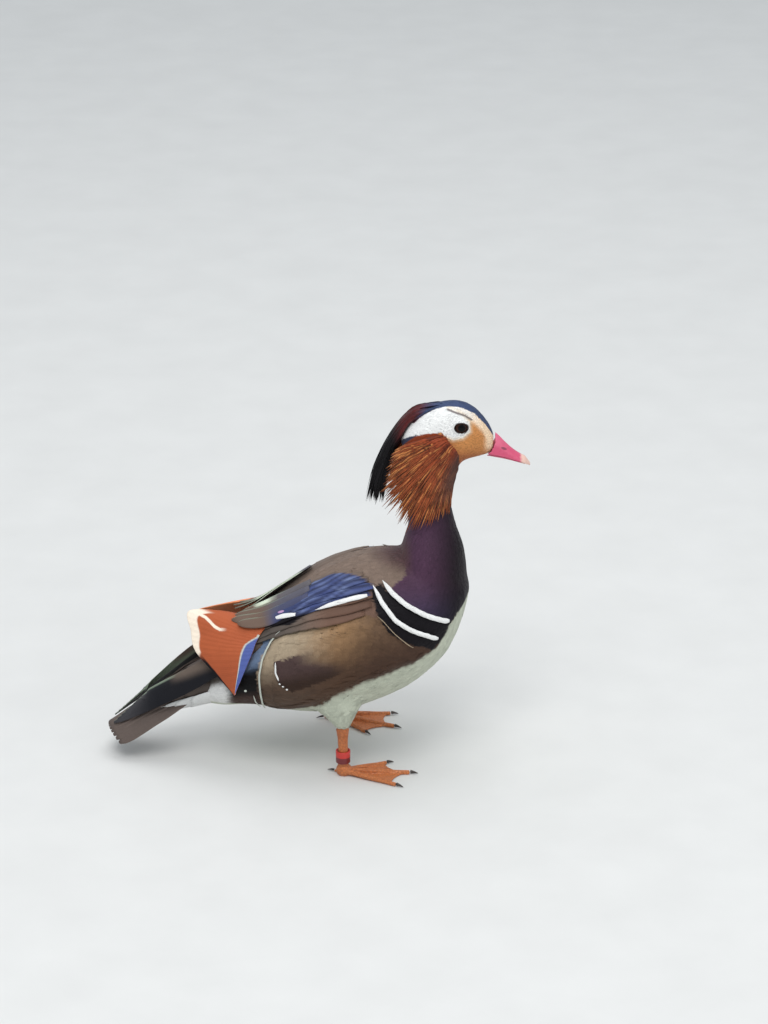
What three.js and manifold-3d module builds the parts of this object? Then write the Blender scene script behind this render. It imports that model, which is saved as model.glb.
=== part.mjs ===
// A drake mandarin duck standing on both feet, life size.
// Millimetres, +Z up, +X towards the bill, +Y to the bird's left.
// The parts are built about a point on the floor midway between the feet.
// The whole is centred at the end.
import * as THREE from 'three';
import { mergeVertices } from 'three/addons/utils/BufferGeometryUtils.js';
import Module from 'manifold-3d';

const wasm = await Module();
wasm.setup();

// Driving dimensions
const GAP = 0.3;              // left between parts that touch
const VANE = 0.9;             // thickness of a flight feather
const CREST_LOCK = 2.2;       // thickness of a lock of the crest
const HACKLE = 1.8;           // thickness of a hackle of the ruff

const FOOT_RIGHT = { x: 3.7, y: -38, turn: 0 };
const FOOT_LEFT = { x: -3.7, y: 48, turn: -0.36 };
const HOCK_HEIGHT = 34;       // where the bare shank leaves the feathers
const SHANK_FOOT = 7;         // height of the joint between shank and foot
const RING = { low: 9.5, high: 18, inner: 3.75, outer: 4.9 };   // ring round the right shank

const EYE = { x: 81.2, y: 10.4, z: 239.6, radius: 5.3 };

// Sections across the body, from tail to breast: place along X, height of the centre,
// height above the centre, depth below it, half width
const TORSO = [
  [-93, 50, 4, 4, 7],
  [-88, 52.5, 13, 13, 20],
  [-80, 56, 19.5, 19.5, 28.5],
  [-70, 60.5, 24, 23, 34.5],
  [-58, 66, 29.5, 26.5, 40.5],
  [-45, 71, 36.5, 33.2, 46],
  [-30, 76, 43, 41.4, 50],
  [-10, 82.5, 51, 49.3, 52],
  [10, 88, 54.5, 52.6, 52],
  [28, 93, 54.2, 50.4, 51],
  [45, 97.5, 49.5, 47.2, 48],
  [62, 103, 41, 39.1, 42],
  [75, 109, 30, 30.4, 33],
  [84, 117, 16, 16.5, 20.5],
  [87.4, 120.8, 7.5, 7.5, 9.5],
  [88.6, 122, 1.2, 1.2, 1.5],
];

// The same across the head, from nape to bill
const HEAD = [
  [41.5, 226, 2.5, 2.5, 2.5],
  [43.5, 226.6, 7, 8, 6.5],
  [48, 228, 12.5, 13.5, 11],
  [55, 229.5, 17.5, 19, 15],
  [64, 231, 20.7, 22, 17],
  [74, 232, 21.8, 22.5, 17.2],
  [83, 231.8, 21.4, 20.5, 16],
  [91.5, 230.3, 18.2, 17, 13.4],
  [97.5, 228, 13.8, 13, 10.4],
  [101.5, 226, 9.4, 9.4, 7.6],
  [103.5, 225, 5.5, 6, 4.5],
];

// Sections up the neck: height, place of the centre along X, reach in front, reach behind, half width
const NECK = [
  [126, 58, 29.2, 22, 30],
  [138, 59, 28, 20, 29],
  [150, 60, 25, 18.5, 25],
  [161, 61, 20, 15, 19.5],
  [172, 62.5, 15, 16.5, 15.5],
  [186, 63, 12, 18, 13.8],
  [200, 64.5, 13, 18, 14.2],
  [214, 67, 17, 15, 15],
  [224, 68, 16, 14, 13],
];

// Sections along the feathered root of the tail, as for the torso
const TAIL_ROOT = [
  [-135, 30.5, 1.5, 1.5, 8],
  [-126, 34.5, 5.5, 5, 13],
  [-112, 42, 11, 9.5, 17],
  [-98, 49, 16, 14.8, 21],
  [-84, 55, 20, 18, 25],
];

// Solids from three.js geometry

function solidOf(geometry) {
  geometry.deleteAttribute('normal');
  geometry.deleteAttribute('uv');
  const merged = mergeVertices(geometry, 1e-4);
  return new wasm.Manifold(new wasm.Mesh({
    numProp: 3,
    vertProperties: merged.attributes.position.array,
    triVerts: new Uint32Array(merged.index.array),
  }));
}

function geometryOf(solid) {
  const { numProp, numVert, vertProperties, triVerts } = solid.getMesh();
  const position = new Float32Array(numVert * 3);
  for (let i = 0; i < numVert; i++) {
    position.set(vertProperties.subarray(i * numProp, i * numProp + 3), i * 3);
  }
  return new THREE.BufferGeometry()
    .setAttribute('position', new THREE.BufferAttribute(position, 3))
    .setIndex(new THREE.BufferAttribute(triVerts, 1));
}

// Joins pieces, cuts the neighbours away and keeps the largest closed surface
function fuse(pieces, neighbours = []) {
  let whole = pieces.reduce((sum, piece) => sum.add(piece));
  for (const neighbour of neighbours) whole = whole.subtract(neighbour);
  return whole.decompose().reduce((a, b) => (a.volume() > b.volume() ? a : b));
}

const mirrored = (solid) => solid.mirror([0, 1, 0]);
const lerp = THREE.MathUtils.lerp;
const V = (x, y, z) => new THREE.Vector3(x, y, z);

// Moves every vertex of a geometry to place(vertex)
function reshape(geometry, place) {
  const position = geometry.attributes.position;
  for (let i = 0; i < position.count; i++) {
    const p = place(new THREE.Vector3().fromBufferAttribute(position, i));
    position.setXYZ(i, p.x, p.y, p.z);
  }
  return geometry;
}

// A smooth curve through the rows of a table, read by the first column
function smooth(table) {
  const places = table.map((row) => row[0]);
  const sizes = table.flatMap((row) => row.slice(1));
  const curve = new THREE.CubicInterpolant(places, sizes, table[0].length - 1, []);
  return (place) => [...curve.evaluate(place)];
}

// A closed form through the sections of a table, with each section larger by grow.
// Rings are closer at both ends, where the form is rounder.
function sectioned(table, sides, rings, toPoint, grow = 0) {
  const section = smooth(table);
  const first = table[0][0];
  const last = table[table.length - 1][0];
  const tube = new THREE.CylinderGeometry(1, 1, 1, sides, rings);
  return solidOf(reshape(tube, (v) => {
    const along = (1 - Math.cos(Math.PI * (v.y + 0.5))) / 2;
    const place = lerp(first, last, along);
    const [centre, plus, minus, half] = section(place);
    const reach = (v.z > 0 ? plus : minus) + grow;
    const atEnd = along === 0 || along === 1;
    const pushed = place + (atEnd ? Math.sign(v.y) * grow : 0);
    return toPoint(pushed, centre + v.z * reach, v.x * (half + grow));
  }));
}

const alongBody = (place, height, side) => V(place, -side, height);
const upNeck = (place, forward, side) => V(forward, side, place);

// A point of a feather: path gives the midline, face the way its upper side looks, width the half width.
// Across and through run from -1 to 1. The midline stands above the edges by camber times the half width,
// and tilt, in radians, lifts one edge over the next feather.
function featherPoint({ path, face, width, thick, camber, tilt = 0 }, s, across, through) {
  const step = 0.01;
  const run = path(Math.min(1, s + step)).sub(path(Math.max(0, s - step))).normalize();
  const up = face(s).clone();
  up.addScaledVector(run, -up.dot(run)).normalize();
  up.applyAxisAngle(run, tilt);
  const sideways = up.clone().cross(run);
  const half = width(s);
  return path(s)
    .addScaledVector(sideways, across * half)
    .addScaledVector(up, (through * thick) / 2 - camber * across * across * half);
}

// A flight or tail feather: a thin cambered vane
function vane({ thick = VANE, camber = 0.12, steps = 4, ...feather }) {
  const slab = new THREE.BoxGeometry(1, 1, 1, 2, 1, steps);
  const shape = { ...feather, thick, camber };
  return solidOf(reshape(slab, (v) => featherPoint(shape, v.z + 0.5, 2 * v.x, 2 * v.y)));
}

// A hackle or crest lock: four-sided, thickest along its shaft, sharp at both edges
function lock({ thick, camber = 0.1, steps, ...feather }) {
  const tube = new THREE.CylinderGeometry(1, 1, 1, 4, steps);
  const shape = { ...feather, thick, camber };
  return solidOf(reshape(tube, (v) => featherPoint(shape, v.y + 0.5, v.x, -v.z)));
}

// Half width of a feather with a round tip, and of a tapered lock, for a half width of 1
const roundTip = (s) => (0.55 + 0.45 * Math.min(1, s / 0.4)) * Math.sqrt(1 - Math.pow(s, 5) * 0.93);
const taper = (s) => (0.6 + 0.4 * Math.sin(Math.PI * Math.min(1, s * 1.3))) * (1 - 0.86 * s * s);

const curveOf = (points) => {
  const curve = new THREE.CatmullRomCurve3(points);
  return (s) => curve.getPoint(s);
};

// Torso

const torsoSection = smooth(TORSO);
const torso = sectioned(TORSO, 24, 22, alongBody);
const torsoGrown = sectioned(TORSO, 24, 22, alongBody, GAP);

// The point of the torso at a place along X and an angle from the top towards the right,
// raised by lift, with its normal
function onTorso(place, degrees, lift) {
  const angle = THREE.MathUtils.degToRad(degrees);
  const at = (x, a) => {
    const [centre, up, down, half] = torsoSection(x);
    return V(x, -half * Math.sin(a), centre + Math.cos(a) * (Math.cos(a) > 0 ? up : down));
  };
  const [e, turn] = [1, 0.02];
  const forward = at(place + e, angle).sub(at(place - e, angle));
  const round = at(place, angle + turn).sub(at(place, angle - turn));
  const normal = forward.cross(round).negate().normalize();
  return { point: at(place, angle).addScaledVector(normal, lift), normal };
}

// Head and neck

const skull = sectioned(HEAD, 20, 14, alongBody);
const headGrown = sectioned(HEAD, 20, 14, alongBody, GAP);
const neckCore = sectioned(NECK, 18, 9, upNeck);
const neckGrown = sectioned(NECK, 18, 9, upNeck, GAP);

function ball(radius, x, y, z) {
  return solidOf(new THREE.SphereGeometry(radius, 12, 9).translate(x, y, z));
}

// Raised rim of skin round the eye
function lid(side) {
  const rim = new THREE.TorusGeometry(EYE.radius - 0.35, 0.75, 5, 12);
  rim.lookAt(V(0.12, side, 0.16));
  return solidOf(rim.translate(EYE.x + 0.4, side * (EYE.y + 2.9), EYE.z + 0.5));
}

const eyeSockets = [1, -1].map((side) => ball(EYE.radius + GAP, EYE.x, side * EYE.y, EYE.z));
const head = fuse([skull, lid(1), lid(-1)], eyeSockets);
const neck = fuse([neckCore], [torsoGrown, headGrown]);

// Bill: place along X, height of the upper edge, height of the mouth, height of the lower edge, half width
const BILL = [
  [93, 234, 219, 216, 7.4],
  [99, 233.6, 218.2, 215.2, 7.4],
  [104, 231.5, 217, 214.2, 7.0],
  [109, 226, 215.8, 213.2, 6.5],
  [114, 221, 214.3, 212.0, 6.2],
  [119.5, 216.6, 212.4, 210.5, 5.9],
  [123.5, 214.6, 210.6, 209.3, 4.9],
  [126, 212.2, 208.6, 207.9, 3.1],
  [127, 209.8, 207.6, 207.3, 1.2],
];
const billSection = smooth(BILL);

// One mandible: flat along the mouth, arched away from it
function mandible(upper) {
  const last = upper ? 127 : 123.5;
  const tube = new THREE.CylinderGeometry(1, 1, 1, 12, 10);
  return solidOf(reshape(tube, (v) => {
    const place = lerp(93, last, v.y + 0.5);
    const [top, mouth, bottom, half] = billSection(place);
    const arch = Math.max(0, upper ? v.z : -v.z);
    const narrower = 1 - 0.42 * arch ** 3;
    const height = upper ? lerp(mouth, top, arch) : lerp(mouth - GAP, bottom, arch);
    const width = upper ? half : half - 0.9;
    return V(place, -v.x * width * narrower, height);
  }));
}

// Slot for a nostril, sloping down towards the tip
function nostril(side) {
  const slot = new THREE.CapsuleGeometry(0.75, 2.2, 3, 8).rotateZ(Math.PI / 2 - 0.5).rotateX(Math.PI / 2);
  return solidOf(slot.translate(109.5, side * 5.2, 221.4));
}

const billUpper = fuse([mandible(true)], [headGrown, nostril(1), nostril(-1)]);
const billLower = fuse([mandible(false)], [headGrown]);

// Crest: long locks from the crown that lie down the back of the head, outer line and inner line from the side
const CREST_OUTER = [V(76, 0, 251.8), V(62, 0, 253.2), V(52, 0, 249.6), V(42.5, 0, 241.8), V(34, 0, 229.8),
  V(28, 0, 218), V(23.4, 0, 203.5), V(19.8, 0, 184)];
const CREST_INNER = [V(60, 0, 243), V(51, 0, 240), V(45.6, 0, 235.7), V(39, 0, 225), V(35.3, 0, 218),
  V(32.5, 0, 206.6), V(29.7, 0, 194.2), V(27, 0, 182.5)];
const CREST_ROOT_HALF = 11.5;
const CREST_TIP_HALF = 2.8;

// Depth 0 lies on the outer line and 1 on the inner one; side runs from -1 to 1 across the crest
function crestLock({ depth, side, reach, half }) {
  const outer = curveOf(CREST_OUTER);
  const inner = curveOf(CREST_INNER);
  const path = (s) => {
    const p = outer(s * reach).lerp(inner(s * reach), depth);
    p.y = side * lerp(CREST_ROOT_HALF, CREST_TIP_HALF, Math.sqrt(s));
    p.z -= side * side * lerp(2.5, 0, s);
    return p;
  };
  const backward = 1 - Math.abs(side);
  const face = (s) => V(-backward * (0.2 + 1.6 * s), side * 1.6, backward * (1.3 - 1.2 * s) + 0.5 * (1 - s));
  return lock({ path, face, width: (s) => half * taper(s), thick: CREST_LOCK, steps: 5 });
}

const crestLocks = [{ depth: 0.45, side: 0, reach: 0.97, half: 4.6 }];
for (const side of [-1, 1]) {
  crestLocks.push(
    { depth: 0, side: side * 0.3, reach: 1, half: 3.4 },
    { depth: 0.22, side: side * 0.62, reach: 0.97, half: 3.2 },
    { depth: 0.5, side: side * 0.85, reach: 0.93, half: 3.2 },
    { depth: 0.8, side: side * 0.95, reach: 0.98, half: 3.0 },
    { depth: 1, side: side * 0.8, reach: 0.86, half: 2.6 },
  );
}
const crest = fuse(crestLocks.map(crestLock), [headGrown]);

// Ruff: hackles that fan from each cheek over the side of the neck.
// Roots and tips run from the throat round to the nape.
const RUFF_ROOTS = [V(77.5, -8, 210.5), V(77, -13.2, 216), V(74.5, -16, 221), V(70, -17.2, 226),
  V(62, -16.6, 231)];
const RUFF_TIPS = [V(75, -7.5, 177), V(68, -15.2, 173), V(54.5, -17.2, 170), V(40, -11, 168), V(31, -3.8, 187),
  V(35, -5, 209)];
// From the outermost tier in: number of locks, where they start and end on the way from root to tip,
// and lift of the tips
const RUFF_TIERS = [
  { count: 5, start: 0, end: 0.66, lift: 3.4 },
  { count: 6, start: 0.14, end: 0.84, lift: 2.2 },
  { count: 7, start: 0.3, end: 1, lift: 1.0 },
];
const RUFF_TILT = 0.26;
const HACKLE_HALF = 5.6;
const ruffOutward = (fan) => V(0.1, -1, 0).lerp(V(-0.8, -0.5, 0), fan).normalize();

function hackle({ start, end, lift }, fan) {
  const root = curveOf(RUFF_ROOTS)(fan);
  const tip = curveOf(RUFF_TIPS)(fan);
  const outward = ruffOutward(fan);
  const path = (s) => {
    const swell = 2 * Math.sin(Math.PI * Math.min(1, lerp(start, end, s) + 0.1));
    const sunk = 2.4 * (1 - s) ** 3;
    return root.clone().lerp(tip, lerp(start, end, s)).addScaledVector(outward, swell + lift * s - sunk);
  };
  const width = (s) => HACKLE_HALF * taper(s);
  return lock({ path, face: () => outward, width, thick: HACKLE, tilt: RUFF_TILT, steps: 3 });
}

// Pad of short feathers that holds the roots of the hackles together
function ruffPad() {
  const slab = new THREE.BoxGeometry(1, 1, 1, 3, 1, 8);
  const roots = curveOf(RUFF_ROOTS);
  const tips = curveOf(RUFF_TIPS);
  return solidOf(reshape(slab, (v) => {
    const fan = 0.5 + v.z * 0.96;
    const down = lerp(0.03, 0.72, v.x + 0.5);
    const rise = v.y > 0 ? 2.4 * Math.cos(v.x * Math.PI * 0.8) : -5;
    return roots(fan).lerp(tips(fan), down).addScaledVector(ruffOutward(fan), rise);
  }));
}

const hackles = [ruffPad()];
for (const tier of RUFF_TIERS) {
  for (let i = 0; i < tier.count; i++) hackles.push(hackle(tier, (i + 0.5) / tier.count));
}
const farSide = solidOf(new THREE.BoxGeometry(300, 400, 400).translate(0, 200 - GAP / 2, 150));
const ruffRight = fuse(hackles, [headGrown, neckGrown, torsoGrown, farSide]);

// Wing: a thin plate that fits the torso's side, with tiers of feathers over it
const WING_FRONT = 37;
const WING_BACK = -44;
const wingTop = (x) => lerp(20, 9, THREE.MathUtils.smoothstep(-x, -30, 30));
const wingLow = (x) => THREE.MathUtils.mapLinear(THREE.MathUtils.clamp(x, -50, 34), -50, 34, 32, 58);

function wingPlate() {
  const slab = new THREE.BoxGeometry(1, 1, 1, 4, 1, 7);
  return solidOf(reshape(slab, (v) => {
    const x = lerp(WING_BACK, WING_FRONT, v.z + 0.5);
    const roundFront = Math.sqrt(Math.max(0, 1 - Math.pow(Math.max(0, (x - 12) / 26), 2)));
    const middle = (wingTop(x) + wingLow(x)) / 2;
    const half = ((wingLow(x) - wingTop(x)) / 2) * Math.max(0.15, roundFront);
    const edge = 2 * v.x;
    const rise = 2.6 * Math.sqrt(1 - 0.8 * edge ** 4) * Math.min(1, 0.35 + roundFront);
    return onTorso(x, middle - edge * half, v.y > 0 ? rise : -1.5).point;
  }));
}

// A feather that lies on the torso from one place and angle to another, its lift growing from low to high
function lyingFeather({ from, to, half, low, high }) {
  const at = (s) => onTorso(lerp(from[0], to[0], s), lerp(from[1], to[1], s), lerp(low, high, Math.sqrt(s)));
  const width = (s) => half * roundTip(s);
  return vane({ path: (s) => at(s).point, face: (s) => at(s).normal, width, tilt: COVERT_TILT, steps: 3 });
}

const COVERT_TILT = 0.1;
// Coverts in tiers from the shoulder back: place and angle of the first and last root and tip
const COVERTS = [
  { count: 4, roots: [[26, 25], [20, 51]], tips: [[-4, 19], [-8, 49]], half: 8.4, high: 4.6 },
  { count: 4, roots: [[8, 20], [2, 44]], tips: [[-23, 16], [-27, 43]], half: 7.6, high: 4.0 },
  { count: 3, roots: [[-10, 19], [-14, 37]], tips: [[-38, 15], [-40, 33]], half: 8.2, high: 3.5 },
];

const wingPieces = [wingPlate()];
for (const { count, roots, tips, half, high } of COVERTS) {
  for (let i = 0; i < count; i++) {
    const across = i / (count - 1);
    const mix = ([a, b]) => [lerp(a[0], b[0], across), lerp(a[1], b[1], across)];
    const raised = high - 0.35 * (i % 2);
    wingPieces.push(lyingFeather({ from: mix(roots), to: mix(tips), half, low: 0.8, high: raised }));
  }
}

// Tertials reach back over the root of the sail
const TERTIALS = [
  { root: [-20, 18], mid: [-44, 14], tip: V(-66, -10, 103) },
  { root: [-20, 25], mid: [-44, 22], tip: V(-70, -17, 104) },
  { root: [-21, 31], mid: [-44, 29], tip: V(-64, -24, 104.5) },
];
for (const { root, mid, tip } of TERTIALS) {
  wingPieces.push(vane({
    path: curveOf([onTorso(...root, 1.5).point, onTorso(...mid, 7).point, tip]),
    face: () => V(0.2, -0.45, 1),
    width: (s) => 5.4 * roundTip(s),
  }));
}
const wingRight = fuse(wingPieces, [torsoGrown]);

// Primaries leave from under the sail and lie along the side of the tail
const PRIMARIES = 4;
const primaryPieces = [];
for (let i = 0; i < PRIMARIES; i++) {
  const rank = i / (PRIMARIES - 1);
  const points = [
    onTorso(-48, lerp(48, 40, rank), -3).point,
    onTorso(-62, lerp(47, 38, rank), 1.6).point,
    V(-98, -23 + rank, lerp(59, 66, rank)),
    V(-125, lerp(-17.5, -14.5, rank), lerp(41, 47, rank)),
    V(lerp(-151, -132, rank), lerp(-8, -10.5, rank), lerp(23, 41.5, rank)),
  ];
  primaryPieces.push(vane({
    path: curveOf(points),
    face: (s) => V(0.35, lerp(-1, -0.5, s), lerp(0.6, 0.9, s)),
    width: (s) => 4.8 * roundTip(s),
    steps: 5,
  }));
}
const primariesRight = fuse(primaryPieces, [torsoGrown]);

// Sail: the innermost tertial, its inner vane spread into an upright fan.
// The shaft runs down behind the flank, and the rim is the free edge from root to tip.
const SAIL_SHAFT = [V(-40, -22, 102), V(-47.5, -25.5, 101.5), V(-53, -31, 95), V(-57, -36.5, 86),
  V(-67.7, -42, 61)];
const SAIL_RIM = [V(-42, -13, 103), V(-60, -13, 98), V(-77, -14, 96), V(-99, -3.8, 104.3), V(-97.5, -13, 94),
  V(-94.3, -22, 83.5), V(-80, -34, 71), V(-68, -41.5, 60)];
const SAIL_BULGE = 3;
const SAIL_THICK = 0.8;

function sail() {
  const shaft = curveOf(SAIL_SHAFT);
  const rim = curveOf(SAIL_RIM);
  const at = (s, t) => {
    const bulge = SAIL_BULGE * Math.sin(Math.PI * t) * Math.sin(Math.PI * s);
    return shaft(s).lerp(rim(s), t).add(V(0, -bulge, 0));
  };
  const step = 0.02;
  const slab = new THREE.BoxGeometry(1, 1, 1, 5, 1, 13);
  return solidOf(reshape(slab, (v) => {
    const s = 0.5 - v.z;
    const t = v.x + 0.5;
    const down = at(Math.min(1, s + step), t).sub(at(Math.max(0, s - step), t));
    const over = at(s, Math.min(1, t + step)).sub(at(s, Math.max(0, t - step)));
    return at(s, t).addScaledVector(over.cross(down).normalize(), v.y * SAIL_THICK);
  }));
}
const sailRight = fuse([sail()], [torsoGrown]);

// Tail: a root of short feathers with a fan of long ones, lower at the sides
const TAIL_PAIRS = 5;
const tailPieces = [sectioned(TAIL_ROOT, 14, 7, alongBody)];
for (let i = -TAIL_PAIRS; i <= TAIL_PAIRS; i++) {
  const spread = i / TAIL_PAIRS;
  const drop = spread * spread;
  tailPieces.push(vane({
    path: curveOf([
      V(-92, spread * 12, 52 - 3 * drop),
      V(-122, spread * 16, 41 - 9 * drop),
      V(lerp(-155, -147, drop), spread * 16, 18.5 - 6 * drop),
    ]),
    face: () => V(0.45, spread * 0.45, 0.9),
    width: (s) => 5.6 * roundTip(s),
    camber: 0.14,
  }));
}
const tail = fuse(tailPieces, [torsoGrown]);

// Legs

// Feathered thigh: height, centre along X, reach in front, reach behind, half width
function thigh(foot) {
  const table = [
    [HOCK_HEIGHT, foot.x, 5, 5, 5],
    [36.5, foot.x - 0.3, 6.3, 6.5, 6],
    [42, foot.x - 1.5, 11, 12, 9],
    [50, foot.x - 3, 17, 18, 12],
    [60, foot.x - 4, 21, 22, 14],
  ];
  const inward = Math.sign(foot.y) * 6;
  const lean = (place, forward, side) =>
    V(forward, foot.y + side - inward * THREE.MathUtils.smoothstep(place, HOCK_HEIGHT, 60), place);
  return fuse([sectioned(table, 14, 6, lean)], [torsoGrown]);
}

function shank(foot) {
  const table = [
    [SHANK_FOOT + GAP, foot.x, 3.6, 3.6, 3.4],
    [RING.low, foot.x, 3.4, 3.4, 3.4],
    [RING.high, foot.x, 3.4, 3.4, 3.3],
    [25, foot.x, 3.3, 3.5, 2.8],
    [HOCK_HEIGHT - 3, foot.x, 3.9, 4.4, 3.4],
    [HOCK_HEIGHT - GAP, foot.x, 4.3, 4.8, 3.9],
  ];
  return sectioned(table, 12, 6, (place, forward, side) => V(forward, foot.y + side, place));
}

// Toes: angle from the foot's own forward line towards its left, length with the claw, thickness
const TOES = [
  { name: 'inner', angle: 0.47, length: 38, radius: 2.0 },
  { name: 'middle', angle: 0, length: 50, radius: 2.2 },
  { name: 'outer', angle: -0.47, length: 45, radius: 2.1 },
];
const HIND_TOE = { name: 'hind', angle: Math.PI - 0.5, length: 12, radius: 1.5 };
const CLAW = 5.5;
const WEB = 1.1;
const WEB_REACH = 0.82;       // how far along the toes the web goes

// A tapered tube that lies forward on the floor, with its knuckles swollen
function toeSolid({ length, radius }) {
  const bone = length - CLAW;
  const tube = new THREE.CylinderGeometry(1, 1, 1, 6, 5);
  return solidOf(reshape(tube, (v) => {
    const s = v.y + 0.5;
    const knuckle = 1 + 0.1 * Math.cos(s * Math.PI * 6);
    const r = lerp(radius * 1.15, radius * 0.72, s) * knuckle;
    return V(bone * s, -v.x * r, lerp(3.0, 1.25, s) + v.z * r);
  }));
}

function clawSolid({ length, radius }) {
  const tube = new THREE.CylinderGeometry(1, 1, 1, 6, 2);
  return solidOf(reshape(tube, (v) => {
    const s = v.y + 0.5;
    const r = lerp(radius * 0.66, 0.22, s);
    return V(length - CLAW + GAP + (CLAW - GAP) * s, -v.x * r, 1.9 - 1.15 * s * s + v.z * r * 1.1);
  }));
}

// Skin between two toes, its free edge curved back a little
function web(a, b) {
  const tip = (toe, reach) => {
    const forward = new THREE.Vector2(Math.cos(toe.angle), Math.sin(toe.angle));
    return forward.multiplyScalar(toe.length * reach);
  };
  const from = tip(a, WEB_REACH);
  const to = tip(b, WEB_REACH);
  const pull = from.clone().add(to).multiplyScalar(0.42);
  const outline = new THREE.Shape()
    .moveTo(0, 0)
    .lineTo(to.x, to.y)
    .quadraticCurveTo(pull.x, pull.y, from.x, from.y)
    .closePath();
  const skin = new THREE.ExtrudeGeometry(outline, { depth: WEB, bevelEnabled: false, curveSegments: 6 });
  return solidOf(skin.translate(0, 0, 0.15));
}

const below = solidOf(new THREE.BoxGeometry(400, 400, 40).translate(0, 0, -20));

// Everything of a foot in its own frame, then set at its place and turned
function footParts(foot, isLeft) {
  const side = isLeft ? -1 : 1;
  const toes = [...TOES, HIND_TOE].map((toe) => ({ ...toe, angle: toe.angle * side }));
  const place = (solid) => {
    const turned = solid.rotate([0, 0, THREE.MathUtils.radToDeg(foot.turn)]);
    return turned.translate([foot.x, foot.y, 0]);
  };
  const turn = (solid, toe) => solid.rotate([0, 0, THREE.MathUtils.radToDeg(toe.angle)]);
  const hub = solidOf(new THREE.SphereGeometry(1, 12, 8).scale(5.4, 4.9, 5.2).translate(0.5, 0, 3.6));
  const heel = new THREE.CylinderGeometry(3.5, 4.4, 4.4, 14).rotateX(Math.PI / 2);
  heel.translate(0, 0, SHANK_FOOT - 2.2);
  const webs = [[toes[0], toes[1]], [toes[1], toes[2]]].map(([a, b]) => (isLeft ? web(a, b) : web(b, a)));
  const above = solidOf(new THREE.BoxGeometry(40, 40, 20).translate(0, 0, SHANK_FOOT + 10));
  const toeSolids = toes.map((toe) => turn(toeSolid(toe), toe));
  const sole = fuse([hub, solidOf(heel), ...webs, ...toeSolids], [below, above]);
  return {
    foot: place(sole),
    claws: toes.map((toe) => ({ name: toe.name, solid: place(fuse([turn(clawSolid(toe), toe)], [below])) })),
  };
}

// Ring worn on the right shank
function legRing() {
  const corner = (r, z) => new THREE.Vector2(r, z);
  const profile = [corner(RING.inner, RING.low), corner(RING.outer, RING.low), corner(RING.outer, RING.high),
    corner(RING.inner, RING.high), corner(RING.inner, RING.low)];
  const ring = new THREE.LatheGeometry(profile, 18).rotateX(Math.PI / 2);
  return solidOf(ring.translate(FOOT_RIGHT.x, FOOT_RIGHT.y, 0));
}

// The whole bird

const paint = (hex, roughness) => new THREE.MeshStandardMaterial({ color: hex, roughness, metalness: 0 });
const MATERIALS = {
  body: paint(0x8a6a48, 0.85),
  head: paint(0xe9e3d8, 0.85),
  neck: paint(0x4a2f3f, 0.8),
  ruff: paint(0x9c4a22, 0.8),
  crest: paint(0x2b1c24, 0.7),
  wing: paint(0x3c4468, 0.7),
  sail: paint(0xc7683c, 0.8),
  tail: paint(0x4c463f, 0.85),
  bill: paint(0xc94a66, 0.45),
  eye: paint(0x1b1210, 0.15),
  leg: paint(0xd07a3c, 0.55),
  claw: paint(0x4b3b33, 0.5),
  ring: paint(0xb4261f, 0.4),
};

const duck = new THREE.Group();

function add(name, solid, material) {
  const mesh = new THREE.Mesh(geometryOf(solid), MATERIALS[material]);
  mesh.name = name;
  duck.add(mesh);
}

add('torso', torso, 'body');
add('neck', neck, 'neck');
add('head', head, 'head');
add('crest', crest, 'crest');
add('bill_upper', billUpper, 'bill');
add('bill_lower', billLower, 'bill');
add('ruff_right', ruffRight, 'ruff');
add('ruff_left', mirrored(ruffRight), 'ruff');
add('wing_right', wingRight, 'wing');
add('wing_left', mirrored(wingRight), 'wing');
add('primaries_right', primariesRight, 'wing');
add('primaries_left', mirrored(primariesRight), 'wing');
add('sail_right', sailRight, 'sail');
add('sail_left', mirrored(sailRight), 'sail');
add('tail', tail, 'tail');
for (const [name, side] of [['right', -1], ['left', 1]]) {
  const foot = side < 0 ? FOOT_RIGHT : FOOT_LEFT;
  const parts = footParts(foot, side > 0);
  add(`eye_${name}`, ball(EYE.radius, EYE.x, side * EYE.y, EYE.z), 'eye');
  add(`thigh_${name}`, thigh(foot), 'body');
  add(`shank_${name}`, shank(foot), 'leg');
  add(`foot_${name}`, parts.foot, 'leg');
  for (const claw of parts.claws) add(`claw_${claw.name}_${name}`, claw.solid, 'claw');
}
add('leg_ring', legRing(), 'ring');

// The origin goes to the middle of the bird's outline on the floor
const bounds = new THREE.Box3().setFromObject(duck);
const middle = bounds.getCenter(V(0, 0, 0));
duck.position.set(-middle.x, -middle.y, -bounds.min.z);

export default duck;
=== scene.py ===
"""Dresses the drake mandarin duck: skin, plumage, bill, eyes and legs, with its camera, floor and light."""
import math

import bpy
import numpy as np
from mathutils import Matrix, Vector
from mathutils.bvhtree import BVHTree


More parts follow.
